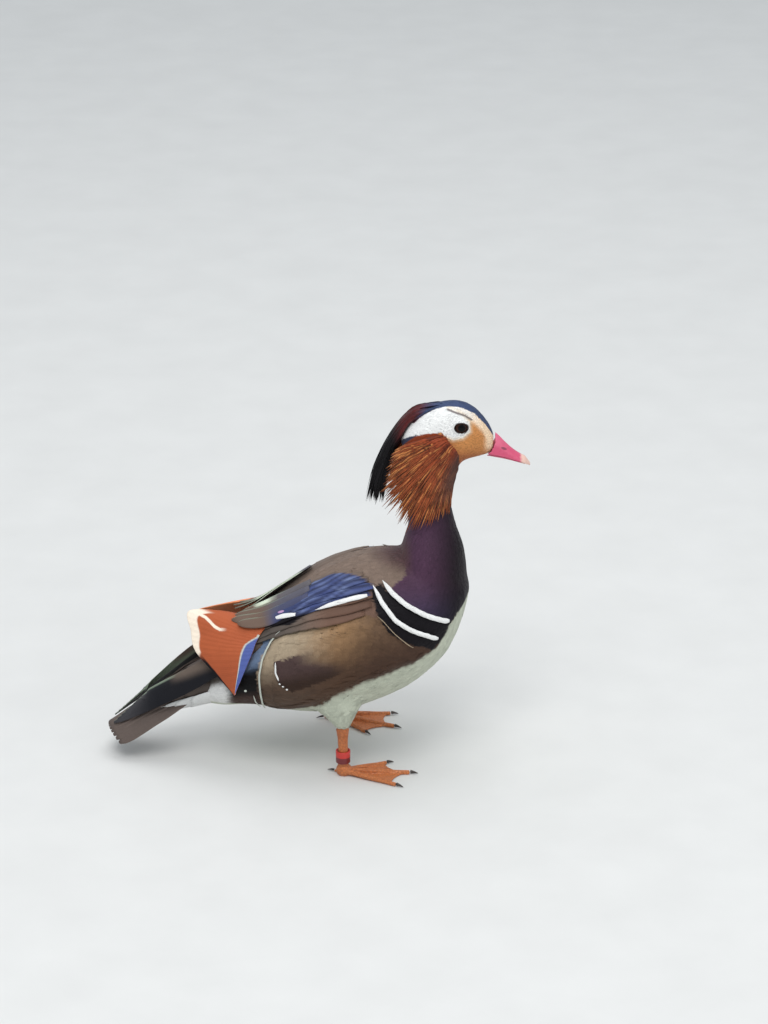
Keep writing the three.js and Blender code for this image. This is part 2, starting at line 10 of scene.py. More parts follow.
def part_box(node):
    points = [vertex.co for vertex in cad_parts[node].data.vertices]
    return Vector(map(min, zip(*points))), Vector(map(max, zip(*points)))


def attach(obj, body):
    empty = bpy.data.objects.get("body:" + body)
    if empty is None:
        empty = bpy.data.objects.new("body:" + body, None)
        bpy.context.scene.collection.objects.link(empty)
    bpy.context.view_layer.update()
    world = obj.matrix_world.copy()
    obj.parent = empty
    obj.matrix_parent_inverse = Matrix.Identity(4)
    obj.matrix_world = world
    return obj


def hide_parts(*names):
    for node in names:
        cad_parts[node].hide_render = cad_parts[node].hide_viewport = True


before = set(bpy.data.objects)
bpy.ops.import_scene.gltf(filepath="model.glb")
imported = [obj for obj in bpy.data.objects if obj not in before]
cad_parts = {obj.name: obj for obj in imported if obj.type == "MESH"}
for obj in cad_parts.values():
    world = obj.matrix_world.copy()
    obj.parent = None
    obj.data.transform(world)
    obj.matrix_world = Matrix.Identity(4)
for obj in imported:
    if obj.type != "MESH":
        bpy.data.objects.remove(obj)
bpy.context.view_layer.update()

# Body measures, in millimetres about a point on the floor midway between the feet.
# Their place in the frame comes from the right eye.
MM = 0.001
RIGHT_EYE = np.array([81.2, -10.4, 239.6])
EYE_RADIUS = 5.3
EYE_OPENING = (4.7, 3.7)     # half length and half height between the lids
LID_RADIUS = 5.9             # of the round of the lids over the eyeball
LID_THICK = 0.32             # half thickness of the lids' rim
EYE_CUT, EYE_CUT_OUT = 9, 3.5    # depth of the cut between the lids, and its centre's place outside the eye's
eye_low, eye_high = (np.array(corner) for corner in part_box("eye_right"))
SHIFT = (eye_low + eye_high) / 2 - RIGHT_EYE * MM
COAT_DEPTH = 0.9 * MM
PATCH = 0.003                # size of a small feather's patch on the unwrap for baking
CELL_MARGIN = 0.08           # round a large feather in its cell of that unwrap

# The photo's view: degrees above the horizon, pixels to a millimetre, and where the point between the
# feet is seen
VIEW_ELEVATION = math.radians(23)
PIXELS_PER_MM = 1.5
FEET_PIXEL = (337.5, 752.7)
IMAGE_SIZE = (768, 1024)
CAMERA_DISTANCE = 2600
SENSOR = 36.0
AIM_HEIGHT = 110             # of the point of the body that the camera stands off from

# Area lamps: place in metres, size in metres and power in watts
LAMPS = {
    "key": ((-0.25, -1.3, 2.3), 1.3, 28),
    "fill": ((1.6, -1.0, 0.9), 1.6, 6),
    "top": ((0.1, 0.5, 2.2), 1.6, 16),
}
LAMP_AIM = (0, 0, 120)
SKY, SKY_STRENGTH = (0.86, 0.93, 1.0, 1), 0.62
FLOOR_SIZE = 8               # metres


def place(points):
    """Body millimetres to frame metres."""
    return np.asarray(points, float) * MM + SHIFT


def body_mm(points):
    """Frame metres to body millimetres."""
    return (np.asarray(points, float) - SHIFT) / MM


def unit(vectors):
    """Vectors made one long."""
    return vectors / np.maximum(np.linalg.norm(vectors, axis=-1, keepdims=True), 1e-12)


def smoothstep(low, high, value):
    """0 at low, 1 at high, smooth between; low may be the larger of the two."""
    t = np.clip((value - low) / (high - low), 0, 1)
    return t * t * (3 - 2 * t)


def stacked(*parts):
    """Values that fit each other's shapes, side by side along a new last axis."""
    return np.stack(np.broadcast_arrays(*parts), -1)


def blend(first, second, share):
    """The first value where share is 0, the second where it is 1."""
    return first + (second - first) * np.asarray(share)[..., None]


def layered(colour, *coats):
    """A tone with others laid over it in turn, each by its own share."""
    for tint, share in coats:
        colour = blend(colour, tint, share)
    return colour


def curve(points):
    """A smooth curve through points; the returned function takes places from 0 to 1."""
    points = np.asarray(points, float)
    padded = np.vstack([2 * points[0] - points[1], points, 2 * points[-1] - points[-2]])

    def at(t):
        t = np.clip(np.asarray(t, float), 0, 1) * (len(points) - 1)
        i = np.minimum(t.astype(int), len(points) - 2)
        f = (t - i)[..., None]
        a, b, c, d = (padded[i + k] for k in range(4))
        return b + 0.5 * f * (c - a + f * (2 * a - 5 * b + 4 * c - d + f * (3 * (b - c) + d - a)))

    return at


def tone(red, green, blue):
    """A colour as it looks, from 0 to 255, made linear light."""
    parts = np.array([red, green, blue]) / 255
    return np.where(parts > 0.04045, ((parts + 0.055) / 1.055) ** 2.4, parts / 12.92)


# Colours
WHITE = tone(236, 235, 232)
CREAM = tone(238, 216, 186)
FACE_CREAM = tone(252, 224, 190)
FACE_TAN = tone(205, 140, 82)
CHESTNUT = tone(146, 66, 38)
STRAND_GOLD = tone(208, 132, 76)
STRAND_DARK = tone(78, 34, 22)
BROW_GREY = tone(104, 92, 92)
NAPE_GREY = tone(62, 66, 86)
THROAT = tone(92, 62, 54)
# The crown's dark blue, lightened by a painted reflection of the sky
CROWN_BLUE = tone(62, 75, 108)
CROWN_MAROON = tone(84, 34, 34)
CREST_BLACK = tone(13, 10, 13)
BREAST_PURPLE = tone(76, 50, 70)
BREAST_BLUE = tone(56, 48, 72)
# The breast's own dark purple; blended in towards the front, it is also painted shade where the breast turns
# away
BREAST_DARK = tone(13, 7, 11)
BLACK = tone(14, 10, 15)
MANTLE = tone(122, 104, 92)
RUMP = tone(88, 80, 74)
FLANK_GOLD = tone(150, 116, 82)
FLANK_TAN = tone(168, 150, 126)
FLANK_UMBER = tone(100, 77, 58)
FLANK_BROWN = tone(66, 46, 36)
FLANK_PATCH = tone(74, 57, 55)
FLANK_LINE = tone(196, 200, 190)
WING_BROWN = tone(112, 84, 70)
WING_BLUE = tone(72, 84, 134)
# Painted highlight on the wing's blue
WING_PAINTED_HIGHLIGHT = tone(128, 142, 180)
WING_SLATE = tone(36, 38, 58)
SIDE_SLATE = tone(104, 122, 148)
# The white belly, painted grey-green: painted shade under the body and a painted reflection of the grass
BELLY = tone(184, 188, 170)
VENT_BROWN = tone(58, 38, 32)
TAIL_BROWN = tone(98, 86, 80)
QUILL_DARK = tone(24, 24, 29)
QUILL_TIP = tone(62, 60, 63)
QUILL_GREY = tone(104, 91, 82)
QUILL_EDGE = tone(146, 160, 138)
WING_LILAC = tone(190, 150, 190)
WING_ROSE = tone(200, 180, 170)
VENT_WHITE = tone(222, 222, 220)
TERTIAL_BROWN = tone(108, 88, 76)
TERTIAL_GREY = tone(98, 94, 98)
TERTIAL_CREAM = tone(214, 224, 200)
SAIL_ORANGE = tone(180, 92, 56)
SAIL_DEEP = tone(158, 78, 48)
# The sails' inner face, painted lighter than the outer: painted light shining through the thin sail
SAIL_INSIDE_LIT = tone(240, 150, 104)
SAIL_CREAM = tone(248, 232, 212)
SAIL_BLUE = tone(84, 98, 160)


# Outlines of markings on the torso: place along X in mm, degrees round from the top of the back
FLANK_TOP = [(-36, 42), (-25, 49), (-12, 56), (0, 57), (8, 55), (18, 57), (28, 62), (35, 71.5), (41.7, 81),
             (52, 95), (60, 106)]
BELLY_EDGE = [(90, 88), (83, 86), (75, 92), (68, 107), (62, 109), (52, 111), (42, 109), (32, 111),
              (18, 111), (8, 115), (-2, 120), (-12, 127), (-25, 136), (-40, 142), (-56, 142), (-70, 130),
              (-95, 120)]
FLANK_REAR = [(-34, 42), (-39, 45), (-43, 49), (-46, 55), (-49, 63.5), (-51, 79.5), (-50.5, 99.5),
              (-49.5, 118), (-48, 140)]
FLANK = FLANK_TOP + BELLY_EDGE[4:14] + FLANK_REAR[:0:-1]
FRONT_BAR = [(30, 35), (36.3, 46), (45, 56), (55, 65), (66.3, 75.5), (73.7, 85)]
REAR_BAR = [(23.7, 37.5), (29.7, 52), (38.3, 66.5), (48.3, 76.5), (58.3, 85.5), (66.3, 96)]
BAR_BLACK = FRONT_BAR + [(78, 91), (70, 102), (64, 108), (58.3, 98), (45, 85.5), (35, 74), (28.3, 60.5),
                         (24, 43)]
WING_BAR = [(-28.5, 36), (-38, 30.5), (-45.5, 24)]
BLUE_AREA = [(26, 40), (18, 31), (8, 22), (-2, 15), (-12, 14), (-24, 14), (-36, 15), (-48, 17),
             (-49, 24), (-38, 32.5), (-28, 38.5), (-20, 42), (-13, 43), (2, 44.5), (20, 45.5)]
FLANK_DARK = [(-40.3, 70.5), (-25, 71.5), (-5, 73), (16, 84), (16, 93), (-12, 100), (-28, 104.5), (-36, 94)]
# How far back the dark patch reaches, and where the breast starts: degrees, and places along X
FLANK_DARK_REACH = ([70, 80, 90, 100], [-20, -16, 2, 8])
BREAST_EDGE = ([0, 16, 32, 38, 52, 66.5, 76.5, 85.5, 96, 110],
               [43, 45, 46, 40, 30, 38, 48, 58, 66, 76])

# Outlines on the head and neck in the photo's pixels, on the near side; the far side has the same
WHITE_PATCH = [(427, 407), (440, 407), (452, 411), (462, 417), (468, 424), (469, 434), (462, 440), (452, 442),
               (445, 439), (441, 434.5), (425, 436), (410, 439), (400, 445), (390, 454), (393, 446),
               (400, 437), (405, 429), (407, 421), (413, 413)]
NAPE_STROKE = [(386, 458), (394, 446), (404, 440), (418, 436.5), (410, 442), (401, 448), (392, 457)]
BROW_STREAK = [(447, 412), (455, 415.5), (463, 418), (470, 422)]
FACE = [(440, 434), (446, 441), (456, 443), (468, 437), (470, 424), (450, 404), (478, 412), (497, 432),
        (500, 452), (486, 463), (460, 464), (448, 458), (440, 450), (434, 441)]
CROWN_EDGE = [(380, 470), (398, 440), (404, 430), (406, 421), (413, 412), (427, 406), (440, 406), (458, 409),
              (473, 416), (484, 427), (492, 438)]

# Places along X, and the half width of the crown's dark stripe there
CROWN_STRIPE = ([52, 70, 80, 92, 100], [6.5, 5.4, 6.0, 5.2, 3.5])


def inside(outline, u, v):
    """True where the points (u, v) lie within a closed outline."""
    found = np.zeros(np.shape(u), bool)
    for (u0, v0), (u1, v1) in zip(outline, outline[1:] + outline[:1]):
        crosses = (v0 > v) != (v1 > v)
        found ^= crosses & (u < (u1 - u0) * (v - v0) / ((v1 - v0) or 1e-9) + u0)
    return found


def distance_to(line, u, v):
    """Distance of the points (u, v) from an open line."""
    best = np.full(np.shape(u), np.inf)
    for (u0, v0), (u1, v1) in zip(line, line[1:]):
        du, dv = u1 - u0, v1 - v0
        t = np.clip(((u - u0) * du + (v - v0) * dv) / (du * du + dv * dv or 1), 0, 1)
        best = np.minimum(best, np.hypot(u - u0 - t * du, v - v0 - t * dv))
    return best


def torso_sections():
    """Rings of the torso solid: place along X, centre's height, reach above and below it, half width."""
    points = body_mm([v.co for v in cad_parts["torso"].data.vertices])
    rows = []
    for x in np.unique(points[:, 0].round(2)):
        ring = points[abs(points[:, 0] - x) < 0.02]
        half = abs(ring[:, 1]).max()
        if half < 0.5:
            continue
        centre = ring[abs(ring[:, 1]) > half - 0.02][:, 2].mean()
        rows.append((x, centre, ring[:, 2].max() - centre, centre - ring[:, 2].min(), half))
    return np.array(rows)


SECTIONS = torso_sections()


def section(x):
    """Height of the torso's centre, reach above and below it, and half width at a place along X."""
    return [np.interp(x, SECTIONS[:, 0], SECTIONS[:, k]) for k in range(1, 5)]


def torso_place(points):
    """Place along X and degrees round from the top, the same on both sides."""
    x, y, z = np.moveaxis(points, -1, 0)
    centre, up, down, half = section(x)
    rise = z - centre
    rise = rise / np.where(rise > 0, up, down)
    return x, np.degrees(np.arctan2(abs(y) / half, rise))


def torso_point(x, degrees):
    """The point of the torso's right side at a place along X and an angle from the top."""
    centre, up, down, half = section(x)
    angle = np.radians(degrees)
    rise = np.cos(angle)
    return np.stack([x, -half * np.sin(angle), centre + rise * np.where(rise > 0, up, down)], -1)


def photo_pixel(points):
    """Where a point of the near side is seen in the photo."""
    x, y, z = np.moveaxis(points, -1, 0)
    height = z * math.cos(VIEW_ELEVATION) - abs(y) * math.sin(VIEW_ELEVATION)
    return FEET_PIXEL[0] + PIXELS_PER_MM * x, FEET_PIXEL[1] - PIXELS_PER_MM * height


# Seams: heights in mm where torso turns into neck and neck into head, and how they slope along X
NECK_SEAM, NECK_SLOPE = (134, 142), 0.25
HEAD_SEAM, HEAD_SLOPE = 211, 0.12
# Thighs: heights over which they leave the belly, how far out of its curve they stand, and their ends along X
THIGH_TOP = (46, 40)
THIGH_OUT = (1.07, 1.15)
THIGH_REAR = (-34, -24)
THIGH_FRONT = 34


def is_head(points):
    """True on the head, above the seam with the neck."""
    x, _, z = np.moveaxis(points, -1, 0)
    return z > HEAD_SEAM + HEAD_SLOPE * (70 - x)


def neck_share(points):
    """0 on the torso, 1 on the neck and head."""
    x, _, z = np.moveaxis(points, -1, 0)
    return smoothstep(*NECK_SEAM, z + NECK_SLOPE * (x - 60))


def thigh_share(points):
    """0 on the torso, 1 on the thighs, which hang below it or stand out beside it."""
    x, y, z = np.moveaxis(points, -1, 0)
    centre, _, down, half = section(x)
    reach = np.hypot(y / half, (z - centre) / down)
    beside = smoothstep(*THIGH_OUT, reach) * (z < centre) * (abs(x) < THIGH_FRONT)
    return np.maximum(smoothstep(*THIGH_TOP, z), beside) * smoothstep(*THIGH_REAR, x)


# Colour of the plumage. Bare numbers are places along X and heights in mm, u and v in the photo's pixels,
# and degrees from the top; a product of smoothsteps fades a tone in over one and out over another.
def head_colour(points):
    u, v = photo_pixel(points)
    x, y, z = np.moveaxis(points, -1, 0)
    colour = blend(CHESTNUT, THROAT, smoothstep(456, 466, v) * smoothstep(424, 440, u))
    edge_u, edge_v = np.array(CROWN_EDGE).T
    below_crown = v - np.interp(u, edge_u, edge_v)
    face = inside(FACE, u, v) | ((u > 446) & (v < 444))
    rust = np.maximum(smoothstep(446, 463, v) * 0.75, smoothstep(460, 444, u) * smoothstep(437, 447, v) * 0.7)
    pale = smoothstep(14, 6, below_crown) + smoothstep(480, 488, u) * smoothstep(456, 446, v)
    tan = layered(FACE_TAN, (CHESTNUT, rust), (FACE_CREAM, np.clip(pale, 0, 1) * 0.9),
                  (WHITE, smoothstep(11, 4, below_crown) * smoothstep(484, 464, u) * 0.8))
    colour[face] = tan[face]
    white = inside(WHITE_PATCH, u, v) | ((u > 418) & (u < 456) & (abs(below_crown - 5) < 5.5))
    colour[white] = WHITE
    edge = smoothstep(3.5, 0, distance_to(WHITE_PATCH + WHITE_PATCH[:1], u, v)) * 0.5
    brow = smoothstep(1.5, 0.5, distance_to(BROW_STREAK, u, v)) * 0.9
    colour = layered(colour, (CREAM, edge * face * (u > 446)), (BROW_GREY, brow))
    colour[inside(NAPE_STROKE, u, v)] = NAPE_GREY
    crown = (below_crown < 0) | ((z > 240) & (abs(y) < np.interp(x, *CROWN_STRIPE)))
    # The crown's blue carries a painted reflection of the sky
    dark = blend(CROWN_MAROON, CROWN_BLUE, smoothstep(408, 440, u))
    dark = blend(CREST_BLACK, dark, smoothstep(388, 402, u))
    colour[crown] = dark[crown]
    return colour


def neck_colour(points):
    x, _, z = np.moveaxis(points, -1, 0)
    # Darker towards the front: the breast's own colour and painted shade where the neck turns away
    return layered(BREAST_PURPLE, (BREAST_DARK, smoothstep(54, 82, x) * 0.95),
                   (CHESTNUT * 0.7, smoothstep(176, 200, z) * (1 - smoothstep(60, 74, x) * 0.5)),
                   (WING_BROWN * 0.6, smoothstep(52, 44, x) * smoothstep(168, 150, z) * 0.6))


def torso_colour(points):
    x, degrees = torso_place(points)
    noise = np.sin(x * 0.9 + degrees * 0.31) * np.sin(x * 0.37 - degrees * 0.23 + 1.3)
    colour = layered(MANTLE, (RUMP, smoothstep(-20, -55, x)),
                     (WING_BROWN, smoothstep(38, 50, degrees) * smoothstep(-10, 12, x) * 0.9))
    breast_start = np.interp(degrees, *BREAST_EDGE)
    flank = inside(FLANK, x, degrees) | ((x > 15) & (x < breast_start) & (degrees > 62))
    dark = blend(FLANK_PATCH, FLANK_BROWN * 0.6, smoothstep(80, 98, degrees))
    reach = np.interp(degrees, *FLANK_DARK_REACH)
    gold = layered(FLANK_TAN, (FLANK_GOLD, smoothstep(-32, 6, x + noise * 3)),
                   (FLANK_UMBER, smoothstep(0, 32, x + noise * 2)),
                   (FLANK_BROWN, smoothstep(60, 100, degrees + noise * 2) * 0.92),
                   (dark, inside(FLANK_DARK, x, degrees) * smoothstep(9, -9, x - reach)))
    colour[flank] = gold[flank]
    rear_x, rear_degrees = np.array(FLANK_REAR).T
    behind = (x < np.interp(degrees, rear_degrees, rear_x)) & (degrees > 40)
    side = layered(SIDE_SLATE, (BLACK * 0.3, smoothstep(62, 76, degrees)),
                   (VENT_BROWN, smoothstep(98, 114, degrees)))
    colour[behind] = side[behind]
    edge_x, edge_degrees = np.array(BELLY_EDGE[::-1]).T
    belly = smoothstep(-2.5, 2.5, degrees + noise * 1.5 - np.interp(x, edge_x, edge_degrees))
    vent = blend(RUMP, WHITE * 0.85, smoothstep(66, 84, degrees))
    # The belly's tone holds painted shade and a painted reflection of the grass
    colour = layered(colour, (vent, smoothstep(-68, -74, x)), (BELLY, belly))
    breast = (x > breast_start) & (belly < 0.5)
    # Darker towards the front: the breast's own colour and painted shade where the breast turns away
    purple = layered(BREAST_PURPLE, (BREAST_BLUE, smoothstep(30, 80, degrees)),
                     (BREAST_DARK, smoothstep(54, 82, x) * 0.92))
    colour[breast] = purple[breast]
    black = inside(BAR_BLACK, x, degrees) & (belly < 0.5)
    colour[black] = BLACK
    # The thighs take the belly's tone, with its painted shade and reflection, a little darker
    return blend(colour, BELLY * 0.92, thigh_share(points))


def wing_colour(points, blue_start):
    """Brown above and blue below, with streaks of painted highlight on the blue, and black under the white
    bar.
    """
    x, degrees = torso_place(points)
    colour = layered(MANTLE, (RUMP, smoothstep(0, -45, x)),
                     (WING_BROWN, smoothstep(38, 47, degrees) * smoothstep(-30, 0, x)))
    blue = inside(BLUE_AREA, x, degrees) & (degrees > blue_start)
    # Painted light on the blue: streaks of painted highlight, with the blue dimming towards slate between
    # them
    streak = 0.5 + 0.5 * np.sin(degrees * 1.1 + x * 0.16 + 1.5 * np.sin(x * 0.21))
    cloud = 0.5 + 0.5 * np.sin(x * 0.33 + 1.1 + np.sin(degrees * 0.3)) * np.sin(degrees * 0.42 - x * 0.1)
    sheen = cloud ** 2 * streak * 0.85 * smoothstep(-36, -22, x) * smoothstep(22, 12, x)
    rear_rim = smoothstep(4, 0, distance_to(BLUE_AREA[8:12], x, degrees)) * 0.9
    shade = layered(WING_SLATE, (WING_BLUE, (0.25 + 0.75 * streak) * smoothstep(-44, -20, x)),
                    (WING_PAINTED_HIGHLIGHT, sheen), (BLACK, rear_rim))
    colour[blue] = shade[blue]
    under = (x < -14) & (distance_to(WING_BAR, x, degrees) < 7) & ~blue & (degrees > blue_start)
    colour[under] = BLACK
    return colour


def plumage(points):
    """Linear colour at body points."""
    colour = torso_colour(points)
    colour = blend(colour, neck_colour(points), neck_share(points))
    head = is_head(points)
    colour[head] = head_colour(points[head])
    return colour


# Shader maths
class Shade:
    """A socket's value. Arithmetic on it adds Math nodes to its material."""

    def __init__(self, finish, socket):
        self.finish = finish
        self.socket = socket

    def maths(self, operation, *values):
        return self.finish.node("Math", {"operation": operation}, dict(enumerate(values)))

    def __add__(self, other):
        return self.maths("ADD", self, other)

    def __sub__(self, other):
        return self.maths("SUBTRACT", self, other)

    def __rsub__(self, other):
        return self.maths("SUBTRACT", other, self)

    def __mul__(self, other):
        return self.maths("MULTIPLY", self, other)

    def __pow__(self, other):
        return self.maths("POWER", self, other)

    def __abs__(self):
        return self.maths("ABSOLUTE", self)

    __radd__ = __add__
    __rmul__ = __mul__

    def sine(self):
        return self.maths("SINE", self)

    def between(self, low, high):
        """0 below low, 1 above high, smooth between."""
        settings = {"interpolation_type": "SMOOTHSTEP"}
        return self.finish.node("MapRange", settings, {"Value": self, "From Min": low, "From Max": high})


class Finish:
    """A material and the nodes that make it."""

    def __init__(self, name):
        self.material = bpy.data.materials.new(name)
        self.material.use_nodes = True
        self.tree = self.material.node_tree
        self.surface = self.tree.nodes["Principled BSDF"]

    def node(self, kind, settings=None, inputs=None, output=0):
        added = self.tree.nodes.new("ShaderNode" + kind)
        for name, value in (settings or {}).items():
            setattr(added, name, value)
        self.connect(added, inputs or {})
        return Shade(self, added.outputs[output])

    def connect(self, node, inputs):
        for name, value in inputs.items():
            if isinstance(value, Shade):
                self.tree.links.new(value.socket, node.inputs[name])
            else:
                node.inputs[name].default_value = value

    def split(self, vector):
        """The X, Y and Z of a vector."""
        first = self.node("SeparateXYZ", inputs={0: vector})
        return [Shade(self, output) for output in first.socket.node.outputs]

    def coordinates(self, scale=1.0):
        """Object coordinates in millimetres times scale."""
        source = self.node("TexCoord", output=3)
        factor = (1000 * scale,) * 3
        return self.node("VectorMath", {"operation": "MULTIPLY"}, {0: source, 1: factor})

    def noise(self, scale, detail=2.0, stretch=(1, 1, 1)):
        """Noise with about scale waves to a millimetre."""
        source = self.node("VectorMath", {"operation": "MULTIPLY"}, {0: self.coordinates(scale), 1: stretch})
        return self.node("TexNoise", inputs={"Vector": source, "Scale": 1.0, "Detail": detail})

    def mix(self, share, first, second):
        """The first colour where share is 0, the second where it is 1."""
        first, second = (value if isinstance(value, Shade) else (*value, 1) for value in (first, second))
        return self.node("Mix", {"data_type": "RGBA"}, {0: share, 6: first, 7: second}, 2)

    def surface_is(self, **inputs):
        for name, value in inputs.items():
            self.connect(self.surface, {name.replace("_", " ").title().replace("Ior", "IOR"): value})

    def bump(self, height, distance, strength=1.0):
        return self.node("Bump", inputs={"Height": height, "Distance": distance * MM, "Strength": strength})


def feather_finish(name, barbs=6.0, slant=1.2, gloss=0.55, sheen=0.03, contrast=0.22):
    """Plumage that takes its colour from each feather, with fine barbs that slant from the shaft.
    The unwrap called vane holds the share across a feather and the millimetres along it."""
    finish = Finish(name)
    colour = finish.node("VertexColor", {"layer_name": "plumage"})
    across, along, _ = finish.split(finish.node("UVMap", {"uv_map": "vane"}))
    wave = ((along - abs(across - 0.5) * slant) * barbs).sine() * 0.5 + 0.5
    grain = finish.noise(0.9, 3.0)
    fleck = finish.noise(0.16, 2.0)
    light = 1 + (grain - 0.5) * contrast + (fleck - 0.5) * contrast + (wave - 0.5) * contrast * 0.5
    shaded = finish.node("VectorMath", {"operation": "SCALE"}, {0: colour, "Scale": light})
    finish.surface_is(base_color=shaded, roughness=gloss + (grain - 0.5) * 0.2, sheen_weight=sheen,
                      specular_ior_level=0.14)
    finish.surface_is(normal=finish.bump(wave + grain, 0.08, 0.5))
    return finish.material


# Meshes of many feathers
def linked(name, data):
    """A new object of the scene."""
    piece = bpy.data.objects.new(name, data)
    bpy.context.scene.collection.objects.link(piece)
    return piece


def paint_points(mesh, colours):
    """Keeps a colour for each point, which the plumage's finish reads."""
    rgba = np.ones((len(mesh.vertices), 4), np.float32)
    rgba[:, :3] = colours
    mesh.color_attributes.new("plumage", "FLOAT_COLOR", "POINT").data.foreach_set("color", rgba.reshape(-1))


def add_unwrap(mesh, name, spots, corners):
    """A UV map from a place for each point and the point at each corner."""
    layer = mesh.uv_layers.new(name=name)
    layer.data.foreach_set("uv", spots[corners].astype(np.float32).reshape(-1))


def belongs(piece, replaces=()):
    """Fixes a piece to the body, in the place of the CAD nodes it replaces."""
    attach(piece, "root")
    if replaces:
        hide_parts(*replaces)


def tube_mesh(name, rings, colours, bake, vane, material, replaces=(), normals=None):
    """One mesh of closed tubes. rings is (tubes, rings, points, 3) in body millimetres, and the
    colours, both unwraps and the normals, if any, have a row for each point. Normals soften the upper faces,
    the first half of a ring, and the under faces keep their own."""
    count, steps, sides, _ = rings.shape
    index = np.arange(count * steps * sides).reshape(count, steps, sides)
    after = np.roll(index, -1, axis=2)
    walls = np.stack([index[:, :-1], after[:, :-1], after[:, 1:], index[:, 1:]], -1).reshape(-1)
    caps = np.concatenate([index[:, 0, ::-1].reshape(-1), index[:, -1].reshape(-1)])
    corners = np.concatenate([walls, caps]).astype(np.int32)
    sizes = np.concatenate([np.full(len(walls) // 4, 4), np.full(2 * count, sides)])
    mesh = bpy.data.meshes.new(name)
    mesh.vertices.add(index.size)
    mesh.vertices.foreach_set("co", place(rings.reshape(-1, 3)).astype(np.float32).reshape(-1))
    mesh.loops.add(len(corners))
    mesh.loops.foreach_set("vertex_index", corners)
    mesh.polygons.add(len(sizes))
    mesh.polygons.foreach_set("loop_start", (np.cumsum(sizes) - sizes).astype(np.int32))
    mesh.polygons.foreach_set("use_smooth", np.arange(len(sizes)) < len(walls) // 4)
    mesh.update(calc_edges=True)
    for layer, values in (("OFBake", bake), ("vane", vane)):
        add_unwrap(mesh, layer, np.broadcast_to(values, (count, steps, sides, 2)).reshape(-1, 2), corners)
    paint_points(mesh, np.clip(np.broadcast_to(colours, rings.shape).reshape(-1, 3), 0, 1))
    if normals is not None:
        soft = normals.reshape(-1, 3)[corners]
        soft[len(walls):] = 0
        soft[:len(walls)].reshape(count, steps - 1, sides, 4, 3)[:, :, sides // 2:] = 0
        mesh.normals_split_custom_set(soft.tolist())
    mesh.materials.append(material)
    belongs(linked(name, mesh), replaces)


def cell_unwrap(share):
    """A cell of its own for each of a few feathers, side by side on a square."""
    cells = math.ceil(math.sqrt(len(share)))
    number = np.arange(len(share))[:, None, None]
    corner = stacked(number % cells, number // cells)
    return (corner + CELL_MARGIN + (1 - 2 * CELL_MARGIN) * share) / cells


def patch_unwrap(roots, share):
    """A small patch for each of many feathers, at its root's place on the skin's unwrap."""
    return skin_unwrap(roots)[:, None, None] + PATCH * (share - 0.5)


def frames_along(paths, faces):
    """Unit up and sideways directions along each midline; paths and faces are (tubes, rings, 3)."""
    run = unit(np.gradient(paths, axis=1))
    up = unit(faces - run * (faces * run).sum(-1, keepdims=True))
    return up, np.cross(up, run)


LEAF_ACROSS = np.array([1, 0.5, 0, 0.5])    # share across a leaf at the four points of its rings
LEAF_UNDER = 0.3             # how deep a leaf is under its midline, beside its height above it
SHAFT_RISE = 1.8             # how thick a vane is at its shaft and at its edges, beside the rest
EDGE_RISE = 0.35


def leaf_rings(paths, faces, half, thick):
    """Four-sided leaves: sharp at both edges, thickest along the shaft."""
    up, side = frames_along(paths, faces)
    half, thick = half[..., None], thick[..., None]
    return np.stack([paths + side * half, paths + up * thick, paths - side * half,
                     paths - up * thick * LEAF_UNDER], 2)


def vane_rings(paths, faces, half, thick, camber, columns):
    """Broad vanes: cambered upper and lower faces of several columns, with a raised shaft."""
    up, side = frames_along(paths, faces)
    across = np.linspace(1, -1, columns + 1)
    rows = []
    for face, order in ((1, across), (-1, across[::-1])):
        for a in order:
            shaft = SHAFT_RISE if a == 0 and face > 0 else 1.0
            edge = EDGE_RISE if abs(a) == 1 else 1.0
            rise = face * thick * 0.5 * shaft * edge - camber * a * a * half
            rows.append(paths + side * (half * a)[..., None] + up * rise[..., None])
    return np.stack(rows, 2)


def pointed(s, root=0.5, tip=0.04, full=0.35):
    """Half width along a lock: root share at the start, full width at full, near nothing at the tip."""
    rise = root + (1 - root) * np.minimum(1, s / full)
    return rise * (1 - (1 - tip) * np.clip((s - full) / (1 - full), 0, 1) ** 1.6)


def rounded(s, root=0.45):
    """Half width along a broad feather, which stays wide almost to its round tip."""
    return (root + (1 - root) * np.minimum(1, s / 0.4)) * np.sqrt(np.maximum(1 - 0.96 * s ** 6, 0.02))


# Skin
FLESH = ["torso", "neck", "head", "thigh_right", "thigh_left"]
SKIN_VOXEL = 1.3
FLANK_SWELL = 2.2                       # how far the flank stands out
FLANK_SHOULDER = 9                      # over how much of its border it rises to that
# The tail's root: place along X, height of the centre, half height, half width
TAIL_ROOT = [(-84, 54.5, 15.5, 22), (-98, 48.5, 13, 17.5), (-112, 41.5, 9, 14), (-126, 35, 4.5, 10)]
TAIL_ROOT_ENDS = [-70, -131]
TAIL_ROOT_SLOPE = 30 / 61               # of its last stretch


def only(piece):
    """Selects one piece and makes it the active one."""
    bpy.ops.object.select_all(action="DESELECT")
    piece.select_set(True)
    bpy.context.view_layer.objects.active = piece


def joined(parts, name):
    """Several objects made one."""
    only(parts[0])
    for part in parts:
        part.select_set(True)
    if len(parts) > 1:
        bpy.ops.object.join()
    piece = bpy.context.object
    piece.name = name
    return piece


def loose_copy(node, name):
    """A merged copy of a CAD node, free to be changed."""
    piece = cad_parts[node].copy()
    piece.data = piece.data.copy()
    piece.name = name
    piece.parent = None
    bpy.context.scene.collection.objects.link(piece)
    piece.data.materials.clear()
    only(piece)
    bpy.ops.object.mode_set(mode="EDIT")
    bpy.ops.mesh.select_all(action="SELECT")
    bpy.ops.mesh.remove_doubles(threshold=0.00001)
    bpy.ops.object.mode_set(mode="OBJECT")
    return piece


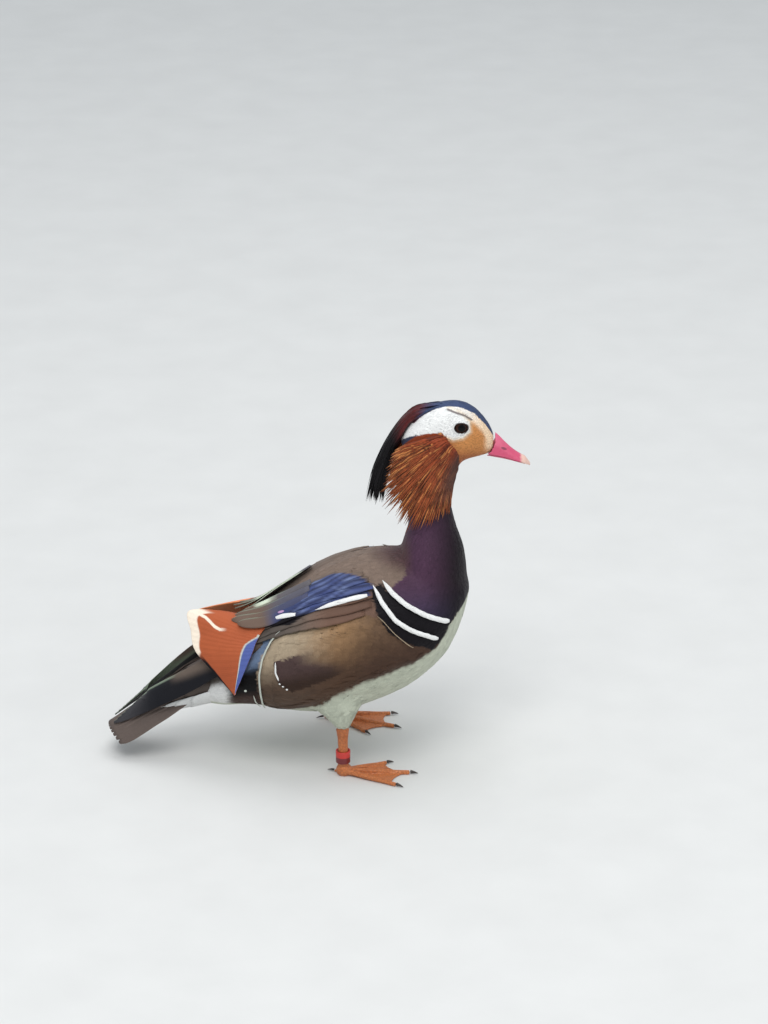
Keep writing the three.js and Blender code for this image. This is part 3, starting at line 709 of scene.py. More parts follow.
def modify(piece, kind, **settings):
    """Adds one modifier to a piece and applies it."""
    only(piece)
    modifier = piece.modifiers.new(kind, kind)
    for name, value in settings.items():
        setattr(modifier, name, value)
    bpy.ops.object.modifier_apply(modifier=modifier.name)


def tail_root():
    """The feathered root of the tail: a sphere drawn out along the tail's slope."""
    bpy.ops.mesh.primitive_uv_sphere_add(segments=32, ring_count=16, radius=1, location=(0, 0, 0))
    piece = bpy.context.object
    piece.name = "tail_root"
    points = np.array([v.co for v in piece.data.vertices])
    x = np.interp((1 - points[:, 2]) / 2, [0, 1], TAIL_ROOT_ENDS)
    spots, *sizes = np.array(TAIL_ROOT[::-1]).T
    centre, rise, half = (np.interp(x, spots, size) for size in sizes)
    full = np.minimum(1, 2.6 * np.sqrt(np.clip(1 - points[:, 2] ** 2, 0, 1)))
    turn = np.arctan2(points[:, 1], points[:, 0])
    z = centre + rise * np.sin(turn) * full
    z = np.where(x < spots[0], z + (x - spots[0]) * TAIL_ROOT_SLOPE, z)
    piece.data.vertices.foreach_set("co", place(stacked(x, half * np.cos(turn) * full, z)).reshape(-1))
    return piece


def near_joint(points):
    """How much the skin is smoothed: at the neck's root, the jaw, the tail's root and the thighs' tops.
    The numbers are their places and widths in mm."""
    x, y, z = points.T
    neck_root = np.exp(-((z - 137 - 0.1 * (x - 60)) / 13) ** 2) * smoothstep(20, 40, x)
    jaw = np.exp(-((z - HEAD_SEAM) / 5) ** 2) * smoothstep(30, 40, x) * (abs(y) < 30)
    tail_start = np.exp(-((x + 84) / 10) ** 2)
    thigh_tops = smoothstep(34, 40, z) * smoothstep(60, 52, z) * 0.8
    return np.max([neck_root, jaw, tail_start, thigh_tops], axis=0)


def make_skin():
    """One skin over torso, neck, head, thighs and the tail's root, without seams."""
    parts = [loose_copy(node, "skin_" + node) for node in FLESH] + [tail_root()]
    for side in (1, -1):
        bpy.ops.mesh.primitive_uv_sphere_add(segments=32, ring_count=16, radius=(LID_RADIUS + 1.0) * MM,
                                             location=place(RIGHT_EYE * (1, side, 1)))
        parts.append(bpy.context.object)
    skin = joined(parts, "skin")
    modify(skin, "REMESH", mode="VOXEL", voxel_size=SKIN_VOXEL * MM)
    near = near_joint(body_mm([v.co for v in skin.data.vertices]))
    group = skin.vertex_groups.new(name="joints")
    for level in range(1, 11):
        chosen = np.nonzero(np.round(near * 10) == level)[0]
        group.add(chosen.tolist(), level / 10, "REPLACE")
    modify(skin, "SMOOTH", factor=0.6, iterations=60, vertex_group="joints")
    modify(skin, "SMOOTH", factor=0.5, iterations=10)
    swell_flank(skin)
    modify(skin, "DISPLACE", strength=-COAT_DEPTH, mid_level=0.0)
    open_eyes(skin)
    only(skin)
    bpy.ops.object.shade_smooth()
    return skin


def open_eyes(skin):
    """Cuts the almond between the lids, down to the eyeball."""
    for side in (1, -1):
        spot = RIGHT_EYE * (1, side, 1) + np.array([0, -side * EYE_CUT_OUT, 0])
        bpy.ops.mesh.primitive_cylinder_add(vertices=48, radius=MM, depth=EYE_CUT * MM, location=place(spot),
                                            rotation=(math.pi / 2, 0, 0))
        cutter = bpy.context.object
        cutter.scale = (*EYE_OPENING, 1)
        modify(skin, "BOOLEAN", operation="DIFFERENCE", solver="EXACT", object=cutter)
        bpy.data.objects.remove(cutter)


def swell_flank(skin):
    """The long flank feathers stand out as a cushion that ends in a step before the tail."""
    points = np.array([v.co for v in skin.data.vertices])
    normals = np.array([v.normal for v in skin.data.vertices])
    body = body_mm(points)
    x, degrees = torso_place(body)
    within = inside(FLANK, x, degrees) & (body[:, 2] > 36) & (neck_share(body) < 0.1)
    depth = distance_to(FLANK + FLANK[:1], x, degrees)
    rise = FLANK_SWELL * smoothstep(0, FLANK_SHOULDER, depth) * within
    skin.data.vertices.foreach_set("co", (points + normals * (rise * MM)[:, None]).reshape(-1))
    skin.data.update()


def surface_of(piece):
    """Search tree over a piece's faces."""
    mesh = piece.data
    return BVHTree.FromPolygons([v.co for v in mesh.vertices], [p.vertices[:] for p in mesh.polygons])


def nearest(tree, points):
    """Nearest surface points and their normals, in body millimetres."""
    found = [tree.find_nearest(Vector(point))[:2] for point in place(points).reshape(-1, 3)]
    spots, normals = np.array(found).swapaxes(0, 1).reshape(2, *points.shape)
    return body_mm(spots), normals


# Coat
# Small feathers of each part: spacing, length, half width and lift in mm
BACK_COAT, SIDE_COAT, BREAST_COAT, NECK_COAT, THIGH_COAT, HEAD_COAT, FACE_COAT = np.array([
    (2.1, 9.0, 2.2, 0.3), (2.1, 11.0, 2.4, 0.1), (1.8, 7.0, 1.7, 0.12), (1.5, 5.5, 1.25, 0.12),
    (1.5, 5.5, 1.2, 0.3), (1.0, 3.6, 0.75, 0.15), (0.8, 2.0, 0.5, 0.12)])
# A leaf's half width, thickness and tone at its five rings, darker towards its root, and its painted shading
# at the points of a ring: a painted highlight on the top ridge, darker edges and underside
LEAF_WIDTH = np.array([0.5, 0.9, 1.0, 0.78, 0.22])
LEAF_THICK = np.array([0.06, 0.08, 0.07, 0.05, 0.02])
LEAF_FADE = np.array([0.9, 0.95, 1.0, 1.0, 1.0])
LEAF_RIDGE_SHADING = np.array([0.97, 1.02, 0.97, 0.97])
BILL_ROOT = np.array([112, 0, 226])     # the feathers of the head lie away from this point
TRIES = 3.2                  # places tried for each that the spacing asks for
CLOSEST = 0.8                # least gap between two roots, as a share of the spacing
GRID_CELL = 1.6
BARE_BELOW = 33.5            # no feather grows lower, on the shank


def coat_style(points):
    """Spacing, length, half width and lift of the small feathers at body points, in mm."""
    x, degrees = torso_place(points)
    from_eye = np.linalg.norm((points - RIGHT_EYE)[..., ::2], axis=-1)
    face = is_head(points) * np.maximum(smoothstep(80, 94, x), smoothstep(13, 8, from_eye))
    return layered(BACK_COAT, (SIDE_COAT, smoothstep(44, 60, degrees) * smoothstep(40, 10, x)),
                   (BREAST_COAT, smoothstep(30, 50, x)), (NECK_COAT, neck_share(points)),
                   (THIGH_COAT, thigh_share(points) * (x < 30)),
                   (HEAD_COAT, is_head(points) * smoothstep(206, 216, points[..., 2])), (FACE_COAT, face))


def lie_of_coat(points, normals):
    """The way the feathers lie: back from the bill, down the neck, and back along the body."""
    x, _, z = np.moveaxis(points, -1, 0)
    body = stacked(-1, 0, -1.2 * smoothstep(50, 84, x) - 0.45 * smoothstep(-30, -80, x))
    neck, thigh = np.array([-0.25, 0, -1]), np.array([-0.35, 0, -1])
    head = unit(unit(points - BILL_ROOT) + np.array([0, 0, -0.12]))
    flow = layered(body, (neck, neck_share(points)), (head, is_head(points) * smoothstep(208, 218, z)),
                   (thigh, thigh_share(points) * (x < 30)))
    flow = flow - normals * (flow * normals).sum(-1, keepdims=True)
    return unit(flow + 1e-6)


def scatter(skin, draw):
    """Evenly spread points of the skin, closer where the feathers are smaller, with their normals."""
    mesh = skin.data
    mesh.calc_loop_triangles()
    spots = body_mm([v.co for v in mesh.vertices])
    corners = np.array([t.vertices[:] for t in mesh.loop_triangles])
    a, b, c = (spots[corners[:, k]] for k in range(3))
    normal = np.cross(b - a, c - a)
    area = np.linalg.norm(normal, axis=1) / 2
    spacing = coat_style((a + b + c) / 3)[:, 0]
    number = draw.poisson(area / spacing ** 2 * TRIES)
    pick = np.repeat(np.arange(len(area)), number)
    u, v = draw.random((2, len(pick)))
    flip = u + v > 1
    u[flip], v[flip] = 1 - u[flip], 1 - v[flip]
    points = a[pick] + (b - a)[pick] * u[:, None] + (c - a)[pick] * v[:, None]
    order = draw.permutation(len(points))
    points, pick = points[order], pick[order]
    gap = coat_style(points)[:, 0]
    grid = {}
    kept = []
    keys = np.floor(points / GRID_CELL).astype(int)
    around = [(i, j, k) for i in (-1, 0, 1) for j in (-1, 0, 1) for k in (-1, 0, 1)]
    for n, (point, key, room) in enumerate(zip(points.tolist(), keys.tolist(), gap.tolist())):
        limit = (room * CLOSEST) ** 2
        others = (other for i, j, k in around for other in grid.get((key[0] + i, key[1] + j, key[2] + k), ()))
        if not any(sum((p - q) ** 2 for p, q in zip(point, other)) < limit for other in others):
            grid.setdefault(tuple(key), []).append(point)
            kept.append(n)
    return points[kept], unit(normal[pick[kept]])


def skin_unwrap(points):
    """Place of a body point on the skin's own unwrap: along the body or neck, and round it."""
    x, y, z = np.moveaxis(points, -1, 0)
    _, degrees = torso_place(points)
    turn = 0.5 + np.sign(y) * degrees / 360 * 0.96
    torso = np.stack([0.02 + 0.6 * (x + 135) / 225, turn], -1)
    around_neck = 0.5 + np.arctan2(y, x - 62) / (2 * math.pi) * 0.96
    neck = np.stack([0.64 + 0.17 * (z - 120) / 95, around_neck], -1)
    around_head = 0.5 + np.arctan2(y, z - 230) / (2 * math.pi) * 0.96
    head = np.stack([0.83 + 0.15 * (x - 35) / 70, around_head], -1)
    spot = np.where((neck_share(points) > 0.5)[..., None], neck, torso)
    return np.clip(np.where(is_head(points)[..., None], head, spot), 0.004, 0.994)


def make_coat(skin, tree, material):
    """The coat of small feathers, each a leaf that bends with the skin, in six pieces."""
    draw = np.random.default_rng(11)
    roots, normals = scatter(skin, draw)
    keep = feathered(roots)
    roots, normals = roots[keep], normals[keep]
    _, length, half, lift = np.moveaxis(coat_style(roots), -1, 0)
    count = len(roots)
    length = length * draw.uniform(0.85, 1.15, count)
    half = half * draw.uniform(0.85, 1.15, count)
    flow = lie_of_coat(roots, normals)
    side = np.cross(normals, flow)
    flow = unit(flow + side * draw.normal(0, 0.09, count)[:, None])
    _, end_normal = nearest(tree, roots + flow * length[:, None])
    length = length * (0.3 + 0.7 * smoothstep(0.72, 0.97, (normals * end_normal).sum(1)))
    end, end_normal = nearest(tree, roots + flow * length[:, None])
    steps = 5
    s = np.linspace(0, 1, steps)[None, :, None]
    root = roots - normals * 0.25
    middle = roots + flow * (length * 0.5)[:, None] + (normals + end_normal) * (lift * 0.3)[:, None]
    tip = end + end_normal * lift[:, None]
    paths = root[:, None] * (1 - s) ** 2 + 2 * middle[:, None] * s * (1 - s) + tip[:, None] * s ** 2
    faces = unit(normals[:, None] * (1 - s) + end_normal[:, None] * s)
    rings = leaf_rings(paths, faces, half[:, None] * LEAF_WIDTH, half[:, None] * LEAF_THICK)
    up, side = frames_along(paths, faces)
    soft = unit(np.stack([up + side * 0.25, up, up - side * 0.25, up], 2))
    colours = plumage(rings * 0.75 + roots[:, None, None] * 0.25)
    vary = 1 + draw.normal(0, 0.05, (count, 1, 1, 1))
    # Painted shading across each leaf, lighter on its ridge; darker towards its root
    colours = colours * vary * LEAF_RIDGE_SHADING[:, None] * LEAF_FADE[:, None, None]
    share = stacked(LEAF_ACROSS, s)
    bake = patch_unwrap(roots, share)
    vane = share * stacked(1, length)[:, None, None]
    head = is_head(roots)
    neck = ~head & (neck_share(roots) > 0.5)
    body, left, front = ~head & ~neck, roots[:, 1] > 0, roots[:, 0] > 15
    regions = {
        "head_coat": (head, "head_feathers"),
        "neck_coat": (neck, "breast_feathers"),
        "front_coat_right": (body & ~left & front, "body_feathers"),
        "front_coat_left": (body & left & front, "body_feathers"),
        "rear_coat_right": (body & ~left & ~front, "body_feathers"),
        "rear_coat_left": (body & left & ~front, "body_feathers"),
    }
    for name, (mask, slot) in regions.items():
        tube_mesh(name, rings[mask], colours[mask], bake[mask], vane[mask], material,
                  normals=soft[mask])


def in_eye_opening(points, margin):
    """True inside the almond between the lids, widened by a margin in mm."""
    along = (points[..., 0] - RIGHT_EYE[0]) / (EYE_OPENING[0] + margin)
    rise = (points[..., 2] - RIGHT_EYE[2]) / (EYE_OPENING[1] + margin)
    return (along ** 2 + rise ** 2 < 1) & (abs(points[..., 1]) > 8)


def feathered(roots):
    """True where feathers grow: not between the eyelids, nor on the bare shank."""
    return ~in_eye_opening(roots, 0.25) & (roots[:, 2] > BARE_BELOW)


def paint_skin(skin, material):
    """Gives the skin the plumage's colours, darker as painted shade, where it shows between the feathers."""
    points = body_mm([v.co for v in skin.data.vertices])
    paint_points(skin.data, plumage(points) * 0.8)
    add_unwrap(skin.data, "vane", skin_unwrap(points), [loop.vertex_index for loop in skin.data.loops])
    skin.data.materials.clear()
    skin.data.materials.append(material)
    belongs(skin, FLESH)


# Laying feathers on one side or on both
def lay(name, rings, colours, across, along, material, replaces=(), cells=False,
        sides=("right", "left")):
    """Tubes of the right side, and the same mirrored on the left. across runs over a ring's points and
    along, in millimetres, over each feather's rings. Cells give each feather a cell of its own to bake in."""
    vane = stacked(across, along[..., None])
    share = vane / np.array([1, along.max()])
    colours = np.broadcast_to(colours, rings.shape)
    for side in sides:
        placed, painted, run, part = rings, colours, vane, share
        if side == "left":
            placed = rings[:, :, ::-1] * (1, -1, 1)
            painted, run, part = colours[:, :, ::-1], vane[:, :, ::-1], share[:, :, ::-1]
        bake = cell_unwrap(part) if cells else patch_unwrap(placed[:, 0].mean(1), part)
        ending = "" if len(sides) == 1 else f"_{side}"
        nodes = [node + ending for node in replaces]
        tube_mesh(name + ending, placed, painted, bake, run, material, nodes)


def run_length(paths):
    """Millimetres along each midline."""
    step = np.linalg.norm(np.diff(paths, axis=1), axis=2)
    return np.concatenate([np.zeros((len(paths), 1)), np.cumsum(step, axis=1)], 1)


def lay_vanes(name, paths, faces, half, thick, paint, material, replaces=(), sides=("right", "left"),
              columns=6, camber=0.12):
    """Broad feathers. paint(points, across, s) gives their colours."""
    rings = vane_rings(paths, faces, half, thick, camber, columns)
    across = np.linspace(0, 1, columns + 1)
    across = np.concatenate([across, across[::-1]])
    s = np.linspace(0, 1, paths.shape[1])[None, :, None]
    colours = paint(rings, across, s)
    lay(name, rings, colours, across, run_length(paths), material, replaces, True, sides)


# Ruff: long hackles that spring from the cheek and fan back and down over the neck
CHEEK = curve([(80, -10, 212.5), (79.5, -14.6, 218.5), (77, -16.6, 224.5), (73, -17.2, 229.5),
               (70, -17.2, 233), (66, -17, 235.5)])
RUFF_ROOT = curve([(77, -8, 209.5), (77, -13.2, 215), (74.5, -16, 220.5), (70, -17.2, 226),
                   (65, -17, 230.5), (59, -16, 232.5)])
RUFF_TIP = curve([(75, -7.5, 177), (68, -15.2, 173), (53.5, -17.2, 168), (38.5, -11, 164), (28, -4.5, 184.5),
                  (31, -5, 203), (36, -8, 221)])
ROOT_SHARE = 0.2             # of the way from cheek to tip, where the ruff leaves the neck
# Painted light and shade across a hackle: lighter on its top ridge, darker at its edges and under it
RUFF_PAINTED_SHADING = np.array([0.72, 1.12, 0.72, 0.7])[:, None]     # at the points of a hackle's ring
# From the skin out: number of hackles, where they start and end between cheek and tip, lift in mm
HACKLE_TIERS = [(96, 0.2, 1.0, 0.2), (96, 0.18, 0.97, 0.7), (90, 0.12, 0.88, 1.2), (84, 0.06, 0.74, 1.6),
                (76, 0.0, 0.56, 1.9), (60, -0.02, 0.38, 2.1)]


def ruff_guide(fan, q):
    """Point of the ruff's surface: fan from the throat to the nape, q from the cheek to the tip."""
    cheek, root, tip = CHEEK(fan), RUFF_ROOT(fan), RUFF_TIP(fan)
    a, q = ROOT_SHARE, q[..., None]
    return (cheek * (q - a) * (q - 1) / a + root * q * (q - 1) / (a * (a - 1)) + tip * q * (q - a) / (1 - a))


def make_ruff(tree, material):
    """Hackles in tiers, drawn close to the skin near their roots and low on the throat."""
    draw = np.random.default_rng(21)
    s = np.linspace(0, 1, 8)[None]
    tiers = []
    for count, start, end, lift in HACKLE_TIERS:
        fan = (np.arange(count) + draw.uniform(0.1, 0.9, count)) / count
        starts = start + draw.uniform(-0.03, 0.06, count)
        ends = end * draw.uniform(0.9, 1.0, count)
        tiers.append(stacked(fan, starts, ends, lift, draw.random(count)))
    fan, start, end, lift, kind = np.concatenate(tiers).T[:, :, None]
    q = start + (end - start) * s
    bent = np.clip(fan + draw.normal(0, 0.012, fan.shape) * s, 0, 1)
    outward = unit(blend(np.array([0.1, -1, 0]), np.array([-0.8, -0.5, 0]), bent))
    rise = 1.4 * np.sin(np.pi * np.clip(q + 0.08, 0, 1)) + lift * smoothstep(0, 0.35, s) - 1.4 * (1 - s) ** 3
    paths = ruff_guide(bent, q) + outward * rise[..., None]
    skin_point, skin_out = nearest(tree, paths)
    hugging = skin_point + skin_out * (0.4 + (0.5 + lift) * smoothstep(0, 0.5, s) + 1.2 * s)[..., None]
    pull = np.maximum(smoothstep(0.6, 0.0, s) * 0.95, smoothstep(0.7, 0.15, fan) * 0.85)
    paths = blend(paths, hugging, pull)
    half = draw.uniform(1.0, 1.5, fan.shape) * pointed(s, root=0.5, full=0.55)
    rings = leaf_rings(paths, outward, half, half * 0.35)
    tint = np.where(kind[..., None] < 0.2, STRAND_GOLD, CHESTNUT)
    tint = np.where(kind[..., None] > 0.82, STRAND_DARK, tint)
    throat = smoothstep(0.42, 0.16, fan) * smoothstep(1.0, 0.55, q)
    base = layered(tint, (CHESTNUT * 0.9, (1 - s) * 0.6), (STRAND_GOLD, smoothstep(0.55, 1, s) * 0.22),
                   (THROAT, throat * 0.85))
    # Each hackle's colour times its painted shading across the ring
    lay("hackles", rings, base[:, :, None] * RUFF_PAINTED_SHADING, LEAF_ACROSS, run_length(paths), material,
        ["ruff"])


# Crest: long strands from the crown, down behind the head
CREST_OUTER = curve([(82, 250.4), (64, 253.2), (52, 249.6), (42.5, 241.8), (34, 229.8), (28, 218),
                     (22.6, 203.5), (17.8, 181)])
CREST_INNER = curve([(66, 246), (52, 241), (45.6, 235.7), (39, 225), (35.3, 218), (32.5, 206.6),
                     (29.7, 194.2), (28, 180)])
# Places along the crest, and its half width there
CREST_HALF = ([0, 0.12, 0.3, 0.6, 1], [5.0, 6.5, 7.6, 5.0, 2.8])
CREST_STRANDS = 400
# Painted light and shade across a strand: lighter on its top ridge, darker at its edges and under it
CREST_PAINTED_SHADING = np.array([0.85, 1.1, 0.85, 0.8])[:, None]     # at the points of a strand's ring


def make_crest(tree, material):
    """Strands all round the crest's middle line, the first of them rooted in the crown."""
    draw = np.random.default_rng(31)
    each = (CREST_STRANDS, 1)
    s = np.linspace(0, 1, 10)[None]
    turn = draw.uniform(-math.pi, math.pi, each)
    reach = np.sqrt(draw.uniform(0.45, 1, each))
    start = draw.uniform(-0.02, 0.62, each)
    end = np.minimum(start + draw.uniform(0.35, 0.6, each), draw.uniform(0.93, 1.0, each))
    place_along = np.clip(start + (end - start) * s, 0, 1)
    outer, inner = CREST_OUTER(place_along), CREST_INNER(place_along)
    inner = inner + np.array([3.2, 0]) * smoothstep(0.3, 0.5, place_along)[..., None]
    middle, depth = (outer + inner) / 2, (outer - inner) / 2
    half = np.interp(place_along, *CREST_HALF)
    lift = reach * (0.84 + 0.14 * s) * (0.6 + 0.4 * smoothstep(0, 0.3, s))
    flat = middle + depth * (np.cos(turn) * lift)[..., None]
    paths = stacked(flat[..., 0], half * lift * np.sin(turn), flat[..., 1])
    skin_point, skin_out = nearest(tree, paths)
    hugging = skin_point + skin_out * ((1.5 + reach * 1.2) * smoothstep(0, 0.35, s) - 1.2)[..., None]
    paths = blend(paths, hugging, smoothstep(0.26, 0.06, place_along))
    out = unit(depth)
    faces = unit(stacked(out[..., 0] * np.cos(turn), np.sin(turn), out[..., 1] * np.cos(turn)))
    width = draw.uniform(0.9, 1.35, each) * pointed(s, root=0.3, full=0.5)
    rings = leaf_rings(paths, faces, width, width * 0.4)
    # The strands start in the crown's blue, with its painted reflection of the sky
    colour = layered(CROWN_BLUE, (CROWN_MAROON, smoothstep(0.1, 0.26, place_along)),
                     (CREST_BLACK, smoothstep(0.36, 0.56, place_along)))
    colour = colour * draw.uniform(0.75, 1.25, (*each, 1))
    # Each strand's colour times its painted shading across the ring
    lay("crest_strands", rings, colour[:, :, None] * CREST_PAINTED_SHADING, LEAF_ACROSS, run_length(paths), material,
        ["crest"], sides=("middle",))


# Wing
def on_torso(x, degrees, lift):
    """A point above the torso's right side, with the way out from it."""
    spot = torso_point(x, degrees)
    along = torso_point(x + 1, degrees) - torso_point(x - 1, degrees)
    around = torso_point(x, degrees + 1) - torso_point(x, degrees - 1)
    out = unit(np.cross(along, around))
    out *= np.sign((out * (spot - stacked(x, 0, section(x)[0]))).sum(-1, keepdims=True))
    return spot + out * np.asarray(lift)[..., None], out


# Rows of wing feathers from the lowest up: number, place along X and degrees of the first and last root,
# run in mm, drift in degrees, half width and lift
WING_ROWS = [
    (5, (19, 56), (-22, 43), 34, -4, 4.4, 0.7),
    (5, (22, 51), (-20, 39), 34, -4, 4.6, 1.1),
    (6, (24, 44.5), (-18, 34), 34, -4, 4.8, 1.4),
    (6, (24, 38), (-16, 29), 34, -4, 5.0, 1.5),
    (6, (21, 31), (-15, 24), 34, -3, 5.0, 1.4),
    (5, (16, 25), (-12, 19), 32, -2, 4.8, 1.2),
    (5, (10, 19), (-10, 15), 30, -1, 4.6, 0.8),
    (4, (0, 13), (-14, 11), 28, 0, 4.4, 0.3),
]
# On the far wing the blue starts this many degrees from the top, and the upper rows lie this much lower
FAR_BLUE, FAR_LOWER = 34, 0.7
WING_TILT = 0.2         # how far each row's lower edge stands off, so that it laps over the row below


def make_wing(material):
    """Rows that lap down each closed wing. The far wing's blue starts lower, as in the photo."""
    draw = np.random.default_rng(41)
    s = np.linspace(0, 1, 12)[None]
    rows = []
    for count, first, last, run, drift, half, lift in WING_ROWS:
        share = np.arange(count) / (count - 1)
        x = first[0] + (last[0] - first[0]) * share
        degrees = first[1] + (last[1] - first[1]) * share
        rows.append(stacked(x, degrees, run, drift, half, lift))
    x, degrees, run, drift, half, lift = np.concatenate(rows).T[:, :, None]
    x = x + draw.normal(0, 0.7, x.shape)
    back = x - run * draw.uniform(0.94, 1.06, x.shape) * s
    turn = degrees + drift * s
    down = unit(torso_point(back, turn + 1) - torso_point(back, turn - 1))
    for side, blue_start, lower in (("right", 0, 0.0), ("left", FAR_BLUE, FAR_LOWER)):
        height = lift - 1.0 + 1.5 * np.sqrt(s) - lower * smoothstep(34, 24, degrees)
        paths, faces = on_torso(back, turn, height)

        def paint(rings, across, s):
            vary = draw.uniform(0.88, 1.1, (len(rings), 1, 1, 1)) * (0.86 + 0.14 * s[..., None])
            return wing_colour(rings, blue_start) * vary

        lay_vanes(f"wing_feathers_{side}", paths, faces - down * WING_TILT, half * rounded(s), 0.5, paint,
                  material, [f"wing_{side}"], sides=(side,), columns=8, camber=0.1)


# Long brown tertials over the root of the sail: root and middle as place along X, degrees and lift, and tip
TERTIALS = [
    ((-16, 14, 2.5), (-42, 11, 4.6), (-65, -7, 103.6)),
    ((-17, 20, 2.5), (-44, 17, 5), (-69, -12, 104.2)),
    ((-18, 26, 2.2), (-45, 23, 5), (-70, -17.5, 104.2)),
    ((-20, 31, 1.8), (-44, 29, 4.6), (-66, -23, 104)),
]
TERTIAL_HALF = 4.9
TERTIAL_BLUE = np.array([0.0, 0.2, 0.65, 1.0])[:, None, None]   # how blue each is over its first half
# Cream edge of the innermost, and of all on the far side: from and to along it, as the photo shows it
CREAM_EDGE = {"right": (0.42, 0.76), "left": (0.08, 0.72)}
FAR_DROP = 5.0          # the far side's tertials hang this much lower at their tips, as in the photo


def make_tertials(material):
    """Broad feathers from the back to the sail's root, lower on the far side."""
    s = np.linspace(0, 1, 14)
    near = np.array([curve([on_torso(*root)[0], on_torso(*middle)[0], tip])(s)
                     for root, middle, tip in TERTIALS])
    far = near.copy()
    far[..., 2] -= FAR_DROP * smoothstep(0.3, 1, s)
    half = TERTIAL_HALF * rounded(np.broadcast_to(s, near.shape[:2]))
    for side, line in (("right", near), ("left", far)):
        first, last = CREAM_EDGE[side]

        def paint(rings, across, s):
            blue = TERTIAL_BLUE * smoothstep(0.55, 0.3, s)
            edge = smoothstep(0.9, 1.0, across) * smoothstep(0.2, 0.5, s)
            colour = layered(TERTIAL_GREY, (TERTIAL_BROWN, smoothstep(0.3, 0.6, s)),
                             (blend(WING_SLATE, WING_BLUE, 0.5), blue), (QUILL_EDGE, edge * 0.8))
            reach = smoothstep(first, first + 0.1, s) * smoothstep(last, last - 0.1, s)
            colour[:1] = blend(colour[:1], TERTIAL_CREAM, smoothstep(0.5, 0.7, across) * reach)
            return blend(colour, TERTIAL_CREAM, smoothstep(0.7, 0.85, across) * reach * (side == "left"))

        lay_vanes(f"tertials_{side}", line, np.array([0.2, -0.45, 1.0]), half, 0.5, paint, material,
                  sides=(side,))


# Pale plumes: line from its far end to its tip, number of plumes, half width, lift, tone.
# On the body: the two bars beside the breast, the flank's pale edges, and the fleck with its dots.
BODY_PLUMES = [
    (FRONT_BAR, 9, 1.75, 1.2, WHITE),
    (REAR_BAR, 9, 1.6, 1.2, WHITE),
    (FLANK_REAR, 9, 0.65, 1.4, FLANK_LINE),
    ([(-55, 104), (-54, 118), (-51, 134)], 3, 0.45, 1.2, FLANK_LINE),
    ([(-61, 94), (-59.5, 95)], 1, 0.9, 1.6, FLANK_LINE),
    ([(26, 60), (31, 66), (37, 75), (44, 84), (50, 92)], 5, 0.3, 1.3, FLANK_TAN),
    ([(-39.4, 70.5), (-39.6, 80), (-37.8, 88)], 2, 0.6, 2.9, WHITE),
    ([(-37.6, 90.5), (-36.8, 92)], 1, 0.6, 2.9, WHITE),
    ([(-35.6, 93.8), (-34.6, 95.2)], 1, 0.6, 2.9, WHITE),
    ([(-33.2, 97.5), (-32, 99)], 1, 0.7, 2.9, WHITE),
]
# On the wing: the line at its front edge, and the bar behind it
WING_PLUMES = [
    ([(-13, 43), (1.7, 44), (11, 44.5), (20.5, 45)], 2, 1.7, 3.1, WHITE),
    ([(-48, 22), (-38, 30.5), (-26, 37.5)], 1, 1.9, 3.3, WHITE),
    ([(-37.5, 26.5), (-33.5, 28.5)], 1, 1.1, 3.3, WING_LILAC),
    ([(-50, 20), (-48, 21)], 1, 0.7, 3.6, WING_ROSE),
]


def plumes_along(line, count, half, lift):
    """Overlapping plumes along a line on the torso, from its last point to its first."""
    x, degrees = np.array(line[::-1], float).T
    knots = np.linspace(0, 1, len(x))
    start = np.arange(count) / (count + 1.2)
    s = np.linspace(0, 1, 8)[None]
    t = np.clip(start[:, None] + 2.2 / (count + 1.2) * s, 0, 1)
    raised = lift - 0.5 + 0.5 * np.sqrt(s)
    paths, faces = on_torso(np.interp(t, knots, x), np.interp(t, knots, degrees), raised * np.ones_like(t))
    taper = np.where(t > 0.8, 1 - 0.75 * ((t - 0.8) / 0.2) ** 2, 1)
    width = half * taper * (0.6 + 0.4 * np.minimum(1, s / 0.25)) * np.sqrt(np.maximum(0.06, 1 - s ** 4))
    return paths, faces, width


def make_plumes(name, plumes, material):
    """One piece of all the plumes of a table, each as pale as its line says."""
    parts = [plumes_along(*line) for *line, _ in plumes]
    paths, faces, width = (np.concatenate(values) for values in zip(*parts))
    tints = np.concatenate([np.tile(plume[-1], (plume[1], 1)) for plume in plumes])[:, None, None]
    lay_vanes(name, paths, faces, width, 0.35, lambda rings, across, s: tints, material, columns=4)


# Sail: one broad upright fan each side
SAIL_SHAFT = curve([(-40, -22, 102), (-47.5, -25.5, 101.5), (-53, -31, 95), (-57, -36.5, 86),
                    (-67.7, -42, 61)])
SAIL_RIMS = {
    "right": curve([(-42, -12, 103), (-60, -8, 103), (-78, -7, 106), (-99, -3.8, 104.3), (-97.5, -13, 94),
                    (-94.3, -22, 83.5), (-80, -34, 71), (-68, -41.5, 60)]),
    "left": curve([(-42, -16, 103), (-61, -24, 99), (-77, -25, 96), (-99, -6, 99.5), (-97.5, -13, 92),
                   (-94.3, -22, 83.5), (-80, -34, 71), (-68, -41.5, 60)]),
}
# Cream curl on the sail's upper part, in the photo's pixels
SAIL_CURL = [(196, 613), (201, 614.5), (206, 617), (211, 621.5), (216, 626.5), (221, 629), (227, 629)]
SAIL_BULGE = 3.0
SAIL_GRID = (150, 84)        # steps along the shaft and across to the rim
SAIL_BARBS = (0.12, 150)     # how deep the grooves between the barbs are, and how close
SAIL_LENGTH = 60
# Shares along the shaft, and the share across where the cream rim starts and where the blue web ends
SAIL_RIM_START = ([0.1, 0.2, 0.3, 0.42, 0.6, 0.72, 0.76], [0.92, 0.87, 0.85, 0.84, 0.85, 0.9, 1.02])
SAIL_WEB_END = ([0.45, 0.6, 0.8, 0.95, 1.0], [0.0, 0.13, 0.2, 0.24, 0.2])


